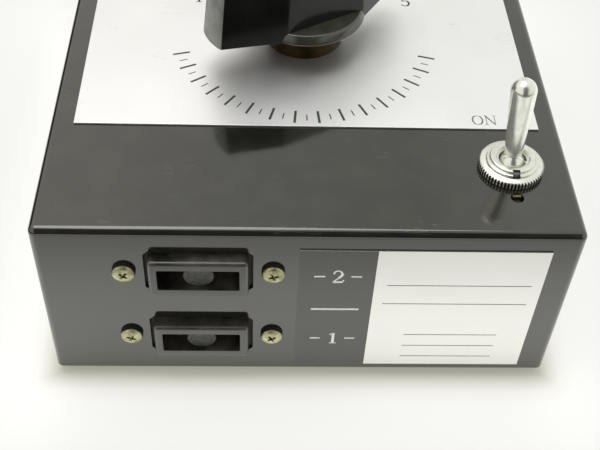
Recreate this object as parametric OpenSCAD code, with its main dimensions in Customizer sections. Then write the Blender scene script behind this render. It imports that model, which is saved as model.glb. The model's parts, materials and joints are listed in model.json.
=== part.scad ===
// Tapped autotransformer in a steel case: a pointer knob turns a five-way tap switch, a toggle switches
// the supply, and two outlets on the front take two-blade plugs. Millimetres, +X right, +Y back, +Z up.

/* [Case] */
// Width of the case
case_w = 140; // [126:1:160]
// Depth of the case, front face to back face
case_d = 160; // [144:1:176]
// Height of the case without its feet
case_h = 57; // [51:1:64]
// Thickness of the steel sheet
sheet_t = 1.2; // [0.8:0.1:1.6]
// Outer radius of the bent edges
edge_r = 2; // [1.8:0.1:3]
// Height of the rubber feet
foot_h = 3; // [2.6:0.2:8]
// Diameter of the rubber feet
foot_d = 13; // [8:1:14]
// Distance from the case's sides to the centre of each foot
foot_inset = 20; // [19:1:26]

/* [Bottom cover] */
// Thickness of the bottom cover
cover_t = 1.2; // [0.8:0.1:2]
// Gap between the cover's edge and the case's walls
cover_gap = 0.3; // [0.2:0.05:0.6]
// Side of the square corner tabs that the cover is screwed to
tab_size = 14; // [12:1:16]
// Thickness of the corner tabs
tab_t = 1.6; // [1.2:0.1:2.5]
// Distance from the case's sides to each cover screw
cover_screw_inset = 9; // [8:0.5:10]

/* [Small screws] */
// Diameter of the M3 screws
m3_d = 3; // [2.5:0.1:3.5]
// Diameter of a pan head
pan_d = 6.1; // [5.6:0.1:6.6]
// Height of a pan head
pan_h = 1.9; // [1.5:0.1:2.2]
// Radial clearance of a screw in its hole
screw_clear = 0.1; // [0.05:0.05:0.3]
// Height of an M3 nut
m3_nut_h = 2.4; // [2:0.1:3]
// Width of an M3 nut across its corners
m3_nut_d = 6.2; // [5.8:0.1:6.6]

/* [Dial plate] */
// Gap between the case's left side and the silver dial plate
plate_left_gap = 6.65; // [4:0.05:12]
// Gap between the case's right side and the dial plate
plate_right_gap = 6.05; // [4:0.05:12]
// Depth of the dial plate, centred on the knob's axis
plate_d = 81.9; // [76:0.1:84]
// Thickness of the dial plate
plate_t = 0.5; // [0.3:0.1:1]

/* [Front plate] */
// Gap between the outlets' right screws and the front plate
label_screw_gap = 3.45; // [3:0.05:8]
// Gap between the front plate and the case's right side
label_right_gap = 7.5; // [5:0.1:14]
// Gap between the front plate and the case's lower edge
label_low_gap = 2.4; // [1:0.1:8]
// Gap between the front plate and the case's top
label_top_gap = 6; // [4:0.1:12]
// Thickness of the front plate
label_t = 0.4; // [0.2:0.1:0.8]

/* [Outlets] */
// Distance of the outlets' centres from the case's left side
outlet_inset = 41.75; // [36:0.05:44]
// Height of the lower outlet's centre above the case's lower edge
outlet_low_z = 15.8; // [14:0.1:17]
// Distance of the upper outlet's centre below the case's top
outlet_top_gap = 14.9; // [13:0.1:16]
// Width of the cut-out in the sheet
cutout_w = 28; // [27.6:0.1:30]
// Height of the cut-out
cutout_h = 16.5; // [15.4:0.1:17]
// Size of the cut-out's cut corners
cutout_corner = 2; // [1:0.1:2.4]
// Width of the outlet's raised rim
rim_w = 25.5; // [24.5:0.1:26]
// Height of the outlet's raised rim
rim_h = 11.6; // [10.5:0.1:12.5]
// How far the rim stands out of the front face
outlet_proud = 3.5; // [2.5:0.1:5]
// Width of the plug recess
recess_w = 21; // [20:0.1:22]
// Height of the plug recess
recess_h = 7.5; // [7:0.1:8.5]
// Diameter of the post between the blades
post_d = 8; // [7:0.1:8.6]
// How far the post's face lies behind the rim's face
post_back = 1.5; // [1:0.1:2.5]
// Distance between the two blades' centres
blade_pitch = 12.7; // [12.3:0.1:13]
// Thickness of a plug's blade
blade_t = 1.5; // [1.4:0.1:1.6]
// Distance between an outlet's two screws
outlet_screw_pitch = 38.3; // [37:0.1:40]
// Depth of the outlet's body behind the sheet
outlet_body_d = 17; // [15:0.5:20]
// Thickness of the outlet's flange
outlet_flange_t = 3; // [2:0.1:4]

/* [Knob] */
// Distance of the knob's axis behind the front face
knob_setback = 80.3; // [78:0.1:84]
// Height of the knob's underside above the case's top
knob_lift = 9.5; // [9:0.1:12]
// Overall height of the knob
knob_h = 23.5; // [20:0.5:30]
// Radius of the skirt at its lower edge
skirt_r = 17.6; // [16:0.1:20]
// Height of the skirt's edge
skirt_h = 3; // [2:0.1:4]
// Half width of the knob's bar
bar_half_w = 11.3; // [10:0.1:12]
// Reach of the pointer end from the axis
pointer_reach = 33; // [30:0.5:36]
// Reach of the tail end from the axis
tail_reach = 31.6; // [28:0.2:34]
// Half width of the blunt tail
tail_half_w = 4.1; // [3:0.1:6]
// Inward slope of the bar's sides, in mm at the top
bar_draft = 1.8; // [0.5:0.1:3]
// Diameter of the brass insert
insert_d = 11; // [9:0.5:13]
// Angle between the dial's neighbouring positions
step_angle = 30; // [24:1:32]
// Number of dial positions
positions = 5; // [3:1:5]
// Direction of the pointer at rest, the last position
rest_angle = 30; // [25:1:32]

/* [Tap switch] */
// Diameter of the switch's shaft
shaft_d = 6; // [5:0.1:6.4]
// Radial running clearance of the shaft
run_clear = 0.06; // [0.02:0.01:0.1]
// Diameter of the threaded bushing
bushing_d = 9.5; // [9:0.1:10]
// Diameter of the round nut
round_nut_d = 22.6; // [18:0.1:26]
// Height of the round nut
round_nut_h = 6; // [4:0.1:7]
// Thickness of the lock washer under the top
lock_washer_t = 0.7; // [0.5:0.1:1]
// Outer radius of the detent housing
detent_r = 18.5; // [18:0.1:19]
// Depth of the detent housing
detent_h = 9; // [8:0.1:10]
// Thickness of the housing's metal
detent_t = 1.2; // [1:0.1:1.5]
// Radius of the detent star's tips
star_r = 9.5; // [9:0.1:10]
// Diameter of the detent ball
ball_d = 4; // [3.6:0.1:4.2]
// Length of the spacers between the detent plate and the wafer
wafer_drop = 14.5; // [13:0.1:15]
// Radius of the contact wafer
wafer_r = 19; // [18.5:0.1:19.5]
// Thickness of the contact wafer
wafer_t = 1.6; // [1.2:0.1:2]
// Distance of the tie screws from the shaft
tie_r = 14.3; // [14:0.1:14.6]
// Reach of the solder lugs from the shaft
lug_reach = 24; // [23:0.1:25]

/* [Toggle] */
// Distance of the toggle from the case's right side
toggle_inset = 16.3; // [14:0.1:20]
// Distance of the toggle behind the front face
toggle_setback = 24.6; // [22:0.1:26]
// Diameter of the toggle's threaded bushing
toggle_bush_d = 11.9; // [11.5:0.1:12.2]
// Diameter of the dress nut's knurled ring
dress_d = 17.3; // [16.5:0.1:19]
// Height of the knurled ring
dress_ring_h = 2.6; // [2.2:0.1:3]
// Diameter of the dress nut's upper step
dress_step_d = 13.7; // [13.4:0.1:14.4]
// Height of the whole dress nut
dress_h = 4; // [3.8:0.1:4.6]
// Number of knurls
knurls = 72; // [48:1:90]
// Distance from the lever's pivot to the centre of its tip
lever_l = 22; // [18:0.5:26]
// Diameter of the lever's round tip
tip_d = 6.8; // [6:0.1:7.2]
// Diameter of the lever at its root
lever_root_d = 4.8; // [4:0.1:5.2]
// Lean of the lever from upright at each end of its throw
lever_lean = 13; // [10:0.5:14]
// Distance of the locating hole in front of the toggle
locate_pitch = 11.4; // [10.8:0.1:12]
// Diameter of the locating hole
locate_d = 3.5; // [3:0.1:4]

/* [Transformer] */
// Gap between the tap switch's wafer and the core
core_switch_gap = 3; // [2:0.5:8]
// Gap between the core and the back wall
core_back_gap = 1.5; // [1:0.1:3]
// Gap between the coil and the bottom cover
coil_floor_gap = 2.5; // [1.5:0.1:4]
// Gap between the coil and the case's top
coil_top_gap = 2.7; // [1.5:0.1:5]
// Diameter of the core's bolts
core_bolt_d = 4; // [3:0.1:4.2]

/* [Back] */
// Distance of the cord's grommet and of the fuse from the case's sides
back_fitting_inset = 19; // [16:0.5:22]
// Height of the back's fittings above the case's lower edge
back_fitting_z = 30; // [26:0.5:32]
// Diameter of the grommet's bore, for the cord
cord_bore_d = 8; // [6:0.1:9]
// Length of the grommet's bore
grommet_l = 8.5; // [7:0.1:12]
// Diameter of the fuse holder's thread
fuse_thread_d = 12.5; // [12:0.1:13]
// Gap between the terminal strip and the case's back face
strip_back_gap = 30; // [24:1:34]
// Length of a fuse
fuse_l = 30; // [28:0.5:32]
// Diameter of a fuse
fuse_d = 6.3; // [6:0.1:6.4]
// How far the fuse holder's cap stands out of the back
fuse_proud = 10.5; // [9:0.1:13]

/* [Hidden] */
$fn = 64;
seat = 0.05;
skin = 0.5;

front_y = -(case_d + fuse_proud - outlet_proud) / 2;
back_y = front_y + case_d;
mid_y = (front_y + back_y) / 2;
top_z = foot_h + case_h;
under_z = top_z - sheet_t;
floor_z = foot_h + cover_t;
inner_w = case_w - 2 * sheet_t;
inner_d = case_d - 2 * sheet_t;
inner_r = edge_r - sheet_t;

cover_w = inner_w - 2 * cover_gap;
cover_d = inner_d - 2 * cover_gap;
cover_screw_l = cover_t + tab_t + 3;
cover_head_h = min(pan_h, foot_h - 0.6);

neck_gap = 0.6;
neck_proud = 0.6;
rim_edge_h = 1.2;
rim_bevel = 0.8;
flange_w = outlet_screw_pitch + 8.6;
flange_h = cutout_h + 4;
block_w = recess_w + 8;
block_h = recess_h + 8;
recess_d = 12;
contact_face = 2.6;
contact_leaf_t = 0.5;
contact_gap = blade_t + 0.2;
contact_h = 6.2;
contact_tail_l = 7;
contact_tail_w = 3;

plate_x0 = plate_left_gap - case_w / 2;
plate_x1 = case_w / 2 - plate_right_gap;
outlet_x = case_w / 2 - outlet_inset;
outlet_pitch = case_h - outlet_low_z - outlet_top_gap;
label_x0 = -outlet_x + (outlet_screw_pitch + pan_d) / 2 + label_screw_gap;
label_x1 = case_w / 2 - label_right_gap;
label_z0 = foot_h + label_low_gap;
label_z1 = top_z - label_top_gap;

knob_y = front_y + knob_setback;
plate_top = top_z + plate_t;
knob_z = top_z + knob_lift;
insert_l = knob_h - 6;
insert_lift = 0.4;
shaft_top = knob_z + insert_l - 2;
shaft_hole_r = shaft_d / 2 + run_clear;
shaft_flat = 0.6;
set_screw_d = 4;
set_screw_z = 10;

detent_top = under_z - lock_washer_t;
detent_under = detent_top - detent_t;
bush_flange_h = 1.2;
bush_flange_d = bushing_d + 4;
bush_over_nut = 0.8;
lock_washer_d = bushing_d + 8;
star_t = 3;
star_z = detent_under - bush_flange_h - 0.5 - star_t;
star_notches = 12;
notch_r = 1.6;
ball_r = ball_d / 2;
ball_at = star_r + ball_r + 0.08;
spring_wire = 0.5;
spring_turns = 3;
guide_w = ball_d + 2.6;
wafer_top = detent_under - wafer_drop;
wafer_z = wafer_top - wafer_t;
pad_t = 0.5;
pad_z = wafer_z - pad_t;
pad_w = 4;
pad_r0 = 11;
ring_r0 = 4.6;
ring_r1 = 7.6;
wiper_t = 0.45;
wiper_gap = 0.05;
wiper_z = pad_z - wiper_gap - wiper_t;
rotor_t = 2.5;
rotor_r = 7.2;
rotor_z = wiper_z - rotor_t;
clip_t = 0.6;
clip_z = rotor_z - seat - clip_t;
shaft_end = clip_z - 0.7;
common_angle = 45;
tie_d = 2.6;
tie_head_d = 4.6;
tie_head_h = 1.6;
wiper_angle = rest_angle + 180;

toggle_x = case_w / 2 - toggle_inset;
toggle_y = front_y + toggle_setback;
pivot_z = top_z + 1.5;
lever_ball_d = 7;
bush_bore_r = lever_ball_d / 2 + 0.2;
bush_top = top_z + dress_h - 0.8;
bush_bottom = top_z - 5;
toggle_washer_t = 0.8;
back_nut_h = 1.8;
frame_t = 1;
frame_top = bush_bottom;
housing_top = frame_top - frame_t;
housing_w = 15;
housing_d = 28;
housing_h = 14;
housing_wall = 2;
housing_floor = 2;
housing_z = housing_top - housing_h;
tail_l = 16.9;
tail_d = 3;
rocker_t = 1;
rocker_arm = 8.4;
rocker_w = 5;
plunger_gap = 0.3;
rocker_top = pivot_z - tail_l - plunger_gap;
rocker_pivot_z = rocker_top - rocker_t / 2;
rocker_gap = 0.1;
rocker_bead_d = 2;
switched_y = 1 - rocker_arm;
pin_d = 1.6;
terminal_w = 4.8;
terminal_t = 0.8;
terminal_l = 8;
locate_tab_w = 2.2;

core_room = back_y - sheet_t - core_back_gap - core_switch_gap - wafer_r - knob_y;
leg_w = core_room / 5;
mid_leg_w = 2 * leg_w;
core_w = 6 * leg_w;
core_d = 5 * leg_w;
window_l = 3 * leg_w;
bobbin_wall = 1.2;
coil_gap = 0.3;
coil_room = under_z - coil_top_gap - coil_floor_gap - floor_z;
stack_h = coil_room - 2 * (leg_w - coil_gap);
flange_x = mid_leg_w / 2 + leg_w - coil_gap;
flange_z = stack_h / 2 + leg_w - coil_gap;
core_z = floor_z + coil_floor_gap + flange_z;
core_y = back_y - sheet_t - core_back_gap - core_d / 2;
core_front = core_y - core_d / 2;
coil_y0 = core_front + leg_w + 0.2;
coil_l = window_l - 0.4;
bobbin_x = mid_leg_w / 2 + 0.15 + bobbin_wall;
bobbin_z = stack_h / 2 + 0.15 + bobbin_wall;
winding_in = 1.1;
wrap_t = 0.5;
core_hole_x = core_w / 2 - leg_w / 2;
core_hole_y = core_d / 2 - leg_w / 2;
core_top = core_z + stack_h / 2;
coil_top = core_z + flange_z;
core_nut_h = 3.2;
core_nut_d = 8.1;
core_head_d = 7.6;

fitting_z = foot_h + back_fitting_z;
fuse_x = case_w / 2 - back_fitting_inset;
grommet_x = -fuse_x;
grommet_d = cord_bore_d + 7;
grommet_neck_d = cord_bore_d + 4;
grommet_out = (grommet_l - sheet_t) / 2 - 0.4;
fuse_flange_t = 1.5;
fuse_flange_d = fuse_thread_d + 3.5;
fuse_body_l = fuse_l + 7;
fuse_body_d = 11.6;
fuse_floor = 2;
fuse_thread_l = 14;
fuse_nut_h = 3;
fuse_nut_d = fuse_thread_d + 5.5;
rivet_d = 5;
fuse_pin_d = 2;
fuse_pin_l = 6;
side_lug_w = 4;
side_lug_l = 6;
side_lug_z = 26;
fuse_in = fuse_floor + 1.2 - fuse_body_l;
fuse_bore_d = fuse_d + 0.6;
fuse_mouth_d = 9.4;
fuse_mouth_l = 9;
cap_stem_d = fuse_mouth_d - 0.3;
cap_stem_l = 8;
cap_d = 13.4;

strip_l = 44;
strip_h = 12;
strip_t = 1.6;
strip_z = floor_z + 5;
strip_x = -fuse_x;
strip_y = back_y - strip_back_gap - strip_l / 2;
strip_foot_w = 8;
strip_foot_t = 1;
strip_lugs_n = 4;
lug_pitch = strip_l / strip_lugs_n;
lug_t = 0.6;
lug_w = 4;
lug_h = 8;
strip_foot_y = strip_l / 2 - 3;

lead_d = 1.8;
lead_gap = 0.15;
coil_lead_inset = 4;
coil_lead_z = coil_top - 4.7;
tap_pitch = (flange_x - coil_lead_inset - 5.7) / 2;

// ---- Helpers ----

// Rectangle centred on X, standing on Y = 0, with rounded upper corners.
module arched_profile(w, h, r) {
    translate([-w / 2, 0]) square([w, h - r]);
    translate([-w / 2 + r, 0]) square([w - 2 * r, h]);
    for (side = [-1, 1])
        translate([side * (w / 2 - r), h - r]) circle(r);
}

// Rectangle centred on the origin with four rounded corners.
module round_rect(w, h, r) {
    square([w, h - 2 * r], center = true);
    square([w - 2 * r, h], center = true);
    for (sx = [-1, 1], sy = [-1, 1])
        translate([sx * (w / 2 - r), sy * (h / 2 - r)]) circle(r);
}

// Block standing on z = 0 with rounded upright edges and rounded upper edges.
module soft_box(w, d, h, r) {
    intersection() {
        linear_extrude(h) round_rect(w, d, r);
        translate([0, d / 2, 0]) rotate([90, 0, 0]) linear_extrude(d) arched_profile(w, h, r);
        translate([-w / 2, 0, 0]) rotate([90, 0, 90]) linear_extrude(w) arched_profile(d, h, r);
    }
}

// Pan-head screw: the head stands on z = 0 and the shank runs down from it.
module pan_screw(d, length, head_d, head_h) {
    dome_r = head_d;
    cross_l = head_d * 0.52;
    cross_w = head_d * 0.15;
    difference() {
        intersection() {
            cylinder(d = head_d, h = head_h);
            translate([0, 0, head_h - dome_r]) sphere(dome_r);
        }
        for (a = [0, 90])
            rotate(a) translate([-cross_l / 2, -cross_w / 2, head_h / 2]) cube([cross_l, cross_w, head_h]);
    }
    translate([0, 0, -length]) cylinder(d = d, h = length);
}

// Hexagon nut standing on z = 0.
module hex_nut(across, bore_d, h) {
    difference() {
        cylinder(d = across, h = h, $fn = 6);
        translate([0, 0, -1]) cylinder(d = bore_d, h = h + 2);
    }
}

// Tube standing on z = 0.
module tube(outer_d, bore_d, h) {
    difference() {
        cylinder(d = outer_d, h = h);
        translate([0, 0, -1]) cylinder(d = bore_d, h = h + 2);
    }
}

// Moves its children to each corner of a rectangle centred on the origin.
module at_corners(half_x, half_y) {
    for (sx = [-1, 1], sy = [-1, 1])
        translate([sx * half_x, sy * half_y, 0]) children();
}

function unit(v) = v / norm(v);
function across(v) = abs(v.z) < 0.9 ? unit(cross(v, [0, 0, 1])) : unit(cross(v, [1, 0, 0]));

// Points on a smooth curve through the points of a route, with the given steps between two points.
function smooth(p, steps) = [
    for (i = [0:len(p) - 2], k = [0:steps - 1])
        let (t = k / steps, a = p[max(i - 1, 0)], b = p[i], c = p[i + 1], d = p[min(i + 2, len(p) - 1)])
            0.5 * (2 * b + (c - a) * t + (2 * a - 5 * b + 4 * c - d) * t ^ 2
                + (3 * b - a - 3 * c + d) * t ^ 3),
    p[len(p) - 1]];
function headings(q) = [for (i = [0:len(q) - 1]) unit(q[min(i + 1, len(q) - 1)] - q[max(i - 1, 0)])];
function sides_of(t, i = 0, n = []) =
    i == len(t) ? n :
    let (last = i == 0 ? across(t[0]) : n[i - 1])
        sides_of(t, i + 1, concat(n, [unit(last - t[i] * (last * t[i]))]));

// Round wire along the points of a curve.
module wire(q, d, sides = 8) {
    t = headings(q);
    n = sides_of(t);
    rings = len(q);
    points = [for (i = [0:rings - 1], k = [0:sides - 1])
        let (a = 360 * k / sides)
            q[i] + d / 2 * (cos(a) * n[i] + sin(a) * cross(t[i], n[i]))];
    walls = [for (i = [0:rings - 2], k = [0:sides - 1])
        let (j = (k + 1) % sides)
            [i * sides + k, (i + 1) * sides + k, (i + 1) * sides + j, i * sides + j]];
    ends = [[for (k = [0:sides - 1]) k], [for (k = [sides - 1:-1:0]) (rings - 1) * sides + k]];
    polyhedron(points, concat(walls, ends), convexity = 4);
}

// ---- Case ----

module outlet_cutout(extra = 0) {
    w = cutout_w / 2 + extra;
    h = cutout_h / 2 + extra;
    c = cutout_corner;
    polygon([[-w, -h + c], [-w + c, -h], [w - c, -h], [w, -h + c],
        [w, h - c], [w - c, h], [-w + c, h], [-w, h - c]]);
}

// Moves its children to each outlet's centre on the front face, turned to face out of it.
module at_outlet(row) {
    translate([-outlet_x, front_y, foot_h + outlet_low_z + row * outlet_pitch]) rotate([90, 0, 0])
        children();
}

module case_shell() {
    color([0.07, 0.07, 0.08]) difference() {
        union() {
            difference() {
                translate([0, mid_y, foot_h]) soft_box(case_w, case_d, case_h, edge_r);
                translate([0, mid_y, foot_h - 1]) soft_box(inner_w, inner_d, case_h - sheet_t + 1, inner_r);
            }
            translate([0, mid_y, floor_z])
                at_corners(inner_w / 2 - tab_size / 2, inner_d / 2 - tab_size / 2)
                translate([0, 0, tab_t / 2]) cube([tab_size + skin, tab_size + skin, tab_t], center = true);
        }
        for (row = [0, 1]) {
            at_outlet(row) translate([0, 0, -sheet_t - 1]) linear_extrude(sheet_t + 2) outlet_cutout();
            for (side = [-1, 1])
                at_outlet(row) translate([side * outlet_screw_pitch / 2, 0, -sheet_t - 1])
                    cylinder(d = m3_d + 2 * screw_clear, h = sheet_t + 2);
        }
        translate([0, knob_y, under_z - 1]) cylinder(d = bushing_d + 2 * screw_clear, h = sheet_t + 2);
        translate([toggle_x, toggle_y, under_z - 1])
            cylinder(d = toggle_bush_d + 2 * screw_clear, h = sheet_t + 2);
        translate([toggle_x, toggle_y - locate_pitch, under_z - 1]) cylinder(d = locate_d, h = sheet_t + 2);
        translate([fuse_x, back_y - sheet_t - 1, fitting_z]) rotate([-90, 0, 0])
            cylinder(d = fuse_thread_d + 2 * screw_clear, h = sheet_t + 2);
        translate([grommet_x, back_y - sheet_t - 1, fitting_z]) rotate([-90, 0, 0])
            cylinder(d = grommet_neck_d + 2 * seat, h = sheet_t + 2);
        translate([0, mid_y, floor_z - 1])
            at_corners(case_w / 2 - cover_screw_inset, case_d / 2 - cover_screw_inset)
            cylinder(d = m3_d + 2 * screw_clear, h = tab_t + 2);
    }
}

module bottom_cover() {
    color([0.16, 0.16, 0.17]) difference() {
        translate([-cover_w / 2, mid_y - cover_d / 2, foot_h]) cube([cover_w, cover_d, cover_t]);
        translate([0, mid_y, foot_h - 1])
            at_corners(case_w / 2 - cover_screw_inset, case_d / 2 - cover_screw_inset)
            cylinder(d = m3_d + 2 * screw_clear, h = cover_t + 2);
        translate([0, core_y, foot_h - 1]) at_corners(core_hole_x, core_hole_y)
            cylinder(d = core_bolt_d + 2 * screw_clear, h = cover_t + 2);
        for (end = [-1, 1])
            translate([strip_x + strip_foot_w / 2, strip_y + end * strip_foot_y, foot_h - 1])
                cylinder(d = m3_d + 2 * screw_clear, h = cover_t + 2);
    }
}

module cover_screws() {
    color("silver") translate([0, mid_y, foot_h])
        at_corners(case_w / 2 - cover_screw_inset, case_d / 2 - cover_screw_inset)
            mirror([0, 0, 1]) pan_screw(m3_d, cover_screw_l, pan_d, cover_head_h);
}

module rubber_feet() {
    color([0.1, 0.1, 0.1]) translate([0, mid_y, 0])
        at_corners(case_w / 2 - foot_inset, case_d / 2 - foot_inset)
            cylinder(d1 = foot_d - 1, d2 = foot_d, h = foot_h);
}

module dial_plate() {
    color([0.86, 0.87, 0.87]) difference() {
        translate([plate_x0, knob_y - plate_d / 2, top_z]) cube([plate_x1 - plate_x0, plate_d, plate_t]);
        translate([0, knob_y, top_z - 1]) cylinder(d = bushing_d + 2 * screw_clear, h = plate_t + 2);
    }
}

module front_plate() {
    color([0.9, 0.9, 0.9]) translate([label_x0, front_y - label_t, label_z0])
        cube([label_x1 - label_x0, label_t, label_z1 - label_z0]);
}

// ---- Outlets ----

// Outlet about its centre on the front face, with +Z out of the face.
module outlet_body() {
    tail_hole_w = contact_leaf_t + 2 * seat;
    tail_hole_h = contact_tail_w + 2 * seat;
    color([0.08, 0.08, 0.08]) difference() {
        union() {
            hull() {
                translate([0, 0, -sheet_t]) linear_extrude(sheet_t + neck_proud) outlet_cutout(-neck_gap);
                translate([-rim_w / 2, -rim_h / 2, outlet_proud - rim_edge_h])
                    cube([rim_w, rim_h, rim_edge_h / 3]);
                translate([-rim_w / 2 + rim_bevel, -rim_h / 2 + rim_bevel, outlet_proud - rim_edge_h / 2])
                    cube([rim_w - 2 * rim_bevel, rim_h - 2 * rim_bevel, rim_edge_h / 2]);
            }
            translate([-flange_w / 2, -flange_h / 2, -sheet_t - outlet_flange_t])
                cube([flange_w, flange_h, outlet_flange_t]);
            translate([-block_w / 2, -block_h / 2, -sheet_t - outlet_body_d])
                cube([block_w, block_h, outlet_body_d]);
        }
        difference() {
            translate([-recess_w / 2, -recess_h / 2, outlet_proud - recess_d])
                cube([recess_w, recess_h, recess_d + 1]);
            translate([0, 0, -recess_d]) cylinder(d = post_d, h = recess_d + outlet_proud - post_back);
        }
        for (side = [-1, 1]) {
            translate([side * outlet_screw_pitch / 2, 0, -sheet_t - outlet_flange_t - 1])
                cylinder(d = m3_d + 2 * screw_clear, h = outlet_flange_t + 2);
            translate([side * blade_pitch / 2 - tail_hole_w / 2, -tail_hole_h / 2,
                -sheet_t - outlet_body_d - 1])
                cube([tail_hole_w, tail_hole_h, outlet_body_d]);
        }
    }
}

// Two brass clips that grip the blades, each with a solder tail out of the body's back.
module outlet_contacts() {
    base_z = outlet_proud - recess_d + seat;
    clip_w = contact_gap + 2 * contact_leaf_t;
    tail_end_z = -sheet_t - outlet_body_d - contact_tail_l;
    color([0.8, 0.66, 0.36]) for (side = [-1, 1])
        translate([side * blade_pitch / 2, 0, 0]) {
            difference() {
                translate([-clip_w / 2, -contact_h / 2, base_z])
                    cube([clip_w, contact_h, -contact_face - base_z]);
                translate([-contact_gap / 2, -contact_h, base_z + contact_leaf_t])
                    cube([contact_gap, 2 * contact_h, outlet_body_d]);
            }
            translate([-contact_leaf_t / 2, -contact_tail_w / 2, tail_end_z])
                cube([contact_leaf_t, contact_tail_w, base_z + contact_leaf_t / 2 - tail_end_z]);
        }
}

module outlet_body_upper() { at_outlet(1) outlet_body(); }
module outlet_body_lower() { at_outlet(0) outlet_body(); }
module outlet_contacts_upper() { at_outlet(1) outlet_contacts(); }
module outlet_contacts_lower() { at_outlet(0) outlet_contacts(); }

module outlet_screws() {
    color([0.72, 0.7, 0.48]) for (row = [0, 1], side = [-1, 1])
        at_outlet(row) translate([side * outlet_screw_pitch / 2, 0, 0])
            pan_screw(m3_d, sheet_t + outlet_flange_t + m3_nut_h + 1, pan_d, pan_h);
}

module outlet_nuts() {
    color([0.72, 0.7, 0.48]) for (row = [0, 1], side = [-1, 1])
        at_outlet(row) translate([side * outlet_screw_pitch / 2, 0, -sheet_t - outlet_flange_t - m3_nut_h])
            hex_nut(m3_nut_d, m3_d + 2 * screw_clear, m3_nut_h);
}

// ---- Tap switch and knob ----

module round_nut() {
    bevel = 0.6;
    slot_w = 1.6;
    slot_d = 1.2;
    hole_r = bushing_d / 2 + screw_clear;
    color([0.45, 0.36, 0.16]) translate([0, knob_y, plate_top]) difference() {
        rotate_extrude() polygon([[hole_r, 0], [round_nut_d / 2, 0], [round_nut_d / 2, round_nut_h - bevel],
            [round_nut_d / 2 - bevel, round_nut_h], [hole_r, round_nut_h]]);
        for (a = [0, 90])
            rotate(a) translate([-round_nut_d, -slot_w / 2, round_nut_h - slot_d])
                cube([2 * round_nut_d, slot_w, 2 * slot_d]);
    }
}

module lock_washer() {
    color("silver") translate([0, knob_y, detent_top])
        tube(lock_washer_d, bushing_d + 2 * screw_clear, lock_washer_t);
}

module switch_bushing() {
    color([0.75, 0.62, 0.34]) translate([0, knob_y, 0]) difference() {
        union() {
            translate([0, 0, detent_under])
                cylinder(d = bushing_d, h = plate_top + round_nut_h + bush_over_nut - detent_under);
            translate([0, 0, detent_under - bush_flange_h]) cylinder(d = bush_flange_d, h = bush_flange_h);
        }
        translate([0, 0, star_z]) cylinder(r = shaft_hole_r, h = knob_z - star_z);
    }
}

module detent_housing() {
    guide_z = star_z + star_t / 2;
    color([0.7, 0.7, 0.68]) translate([0, knob_y, 0]) difference() {
        union() {
            difference() {
                translate([0, 0, detent_top - detent_h]) cylinder(r = detent_r, h = detent_h);
                translate([0, 0, detent_top - detent_h - 1])
                    cylinder(r = detent_r - detent_t, h = detent_h + 1 - detent_t);
            }
            translate([-guide_w / 2, star_r + 0.6, guide_z - guide_w / 2])
                cube([guide_w, detent_r - star_r - 1.2, detent_under - guide_z + guide_w / 2 + seat]);
        }
        translate([0, 0, detent_under - 1]) cylinder(d = bushing_d + 2 * seat, h = detent_t + 2);
        translate([0, star_r, guide_z]) rotate([-90, 0, 0])
            cylinder(d = ball_d + 0.2, h = detent_r - detent_t - star_r);
        for (side = [-1, 1])
            translate([side * tie_r, 0, detent_under - 1]) cylinder(d = tie_d + 2 * seat, h = detent_t + 2);
    }
}

module detent_ball() {
    color("silver") translate([0, knob_y + ball_at, star_z + star_t / 2]) sphere(d = ball_d);
}

module detent_spring() {
    y0 = ball_at + ball_r + seat + spring_wire / 2;
    y1 = detent_r - detent_t - seat - spring_wire / 2;
    coil_r = ball_r - spring_wire / 2 - 0.1;
    steps = 12;
    turns = [for (i = [0:spring_turns * steps])
        let (a = 360 * i / steps, f = i / (spring_turns * steps))
            [coil_r * cos(a), y0 + f * (y1 - y0), coil_r * sin(a)]];
    color("silver") translate([0, knob_y, star_z + star_t / 2]) wire(turns, spring_wire, 6);
}

module switch_wafer() {
    color([0.45, 0.26, 0.12]) translate([0, knob_y, wafer_z]) difference() {
        cylinder(r = wafer_r, h = wafer_t);
        translate([0, 0, -1]) cylinder(r = shaft_d / 2 + 0.4, h = wafer_t + 2);
        for (side = [-1, 1])
            translate([side * tie_r, 0, -1]) cylinder(d = tie_d + 2 * screw_clear, h = wafer_t + 2);
    }
}

// Five tap contacts with solder lugs, and the common ring with its own lug, under the wafer.
module tap_contacts() {
    color([0.8, 0.66, 0.36]) translate([0, knob_y, pad_z]) {
        for (i = [0:positions - 1])
            rotate(wiper_angle + i * step_angle) contact_arm(pad_r0);
        difference() {
            union() {
                cylinder(r = ring_r1, h = pad_t);
                rotate(common_angle) contact_arm(ring_r0);
            }
            translate([0, 0, -1]) cylinder(r = ring_r0, h = pad_t + 2);
        }
    }
}

// Strip of contact metal that runs outwards from the given radius and ends in a solder lug.
module contact_arm(from) {
    translate([from, -pad_w / 2, 0]) cube([lug_reach - from, pad_w, pad_t]);
}

module wafer_spacers() {
    color([0.75, 0.62, 0.34]) for (side = [-1, 1])
        translate([side * tie_r, knob_y, wafer_top]) tube(tie_head_d, tie_d + 2 * screw_clear, wafer_drop);
}

module tie_screws() {
    color("silver") for (side = [-1, 1])
        translate([side * tie_r, knob_y, wafer_z]) mirror([0, 0, 1])
            pan_screw(tie_d, wafer_t + wafer_drop + detent_t, tie_head_d, tie_head_h);
}

// Outline of the knob's bar, with the pointer along +X, drawn in by the given amount.
function knob_outline(pull) =
    let (nose = 1.3, shoulder = 13, tail_bulge = 0.8)
        concat(
            [for (a = [-60:20:60]) [pointer_reach - nose - 0.4 * pull + nose * cos(a), nose * sin(a)]],
            [[shoulder, bar_half_w - pull], [-shoulder + 0.4, bar_half_w - 0.2 - pull]],
            [for (f = [1:-0.25:-1])
                [-tail_reach + 1.7 * pull + tail_bulge * f * f, f * (tail_half_w - 0.6 * pull)]],
            [[-shoulder + 0.4, -bar_half_w + 0.2 + pull], [shoulder, -bar_half_w + pull]]);

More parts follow.
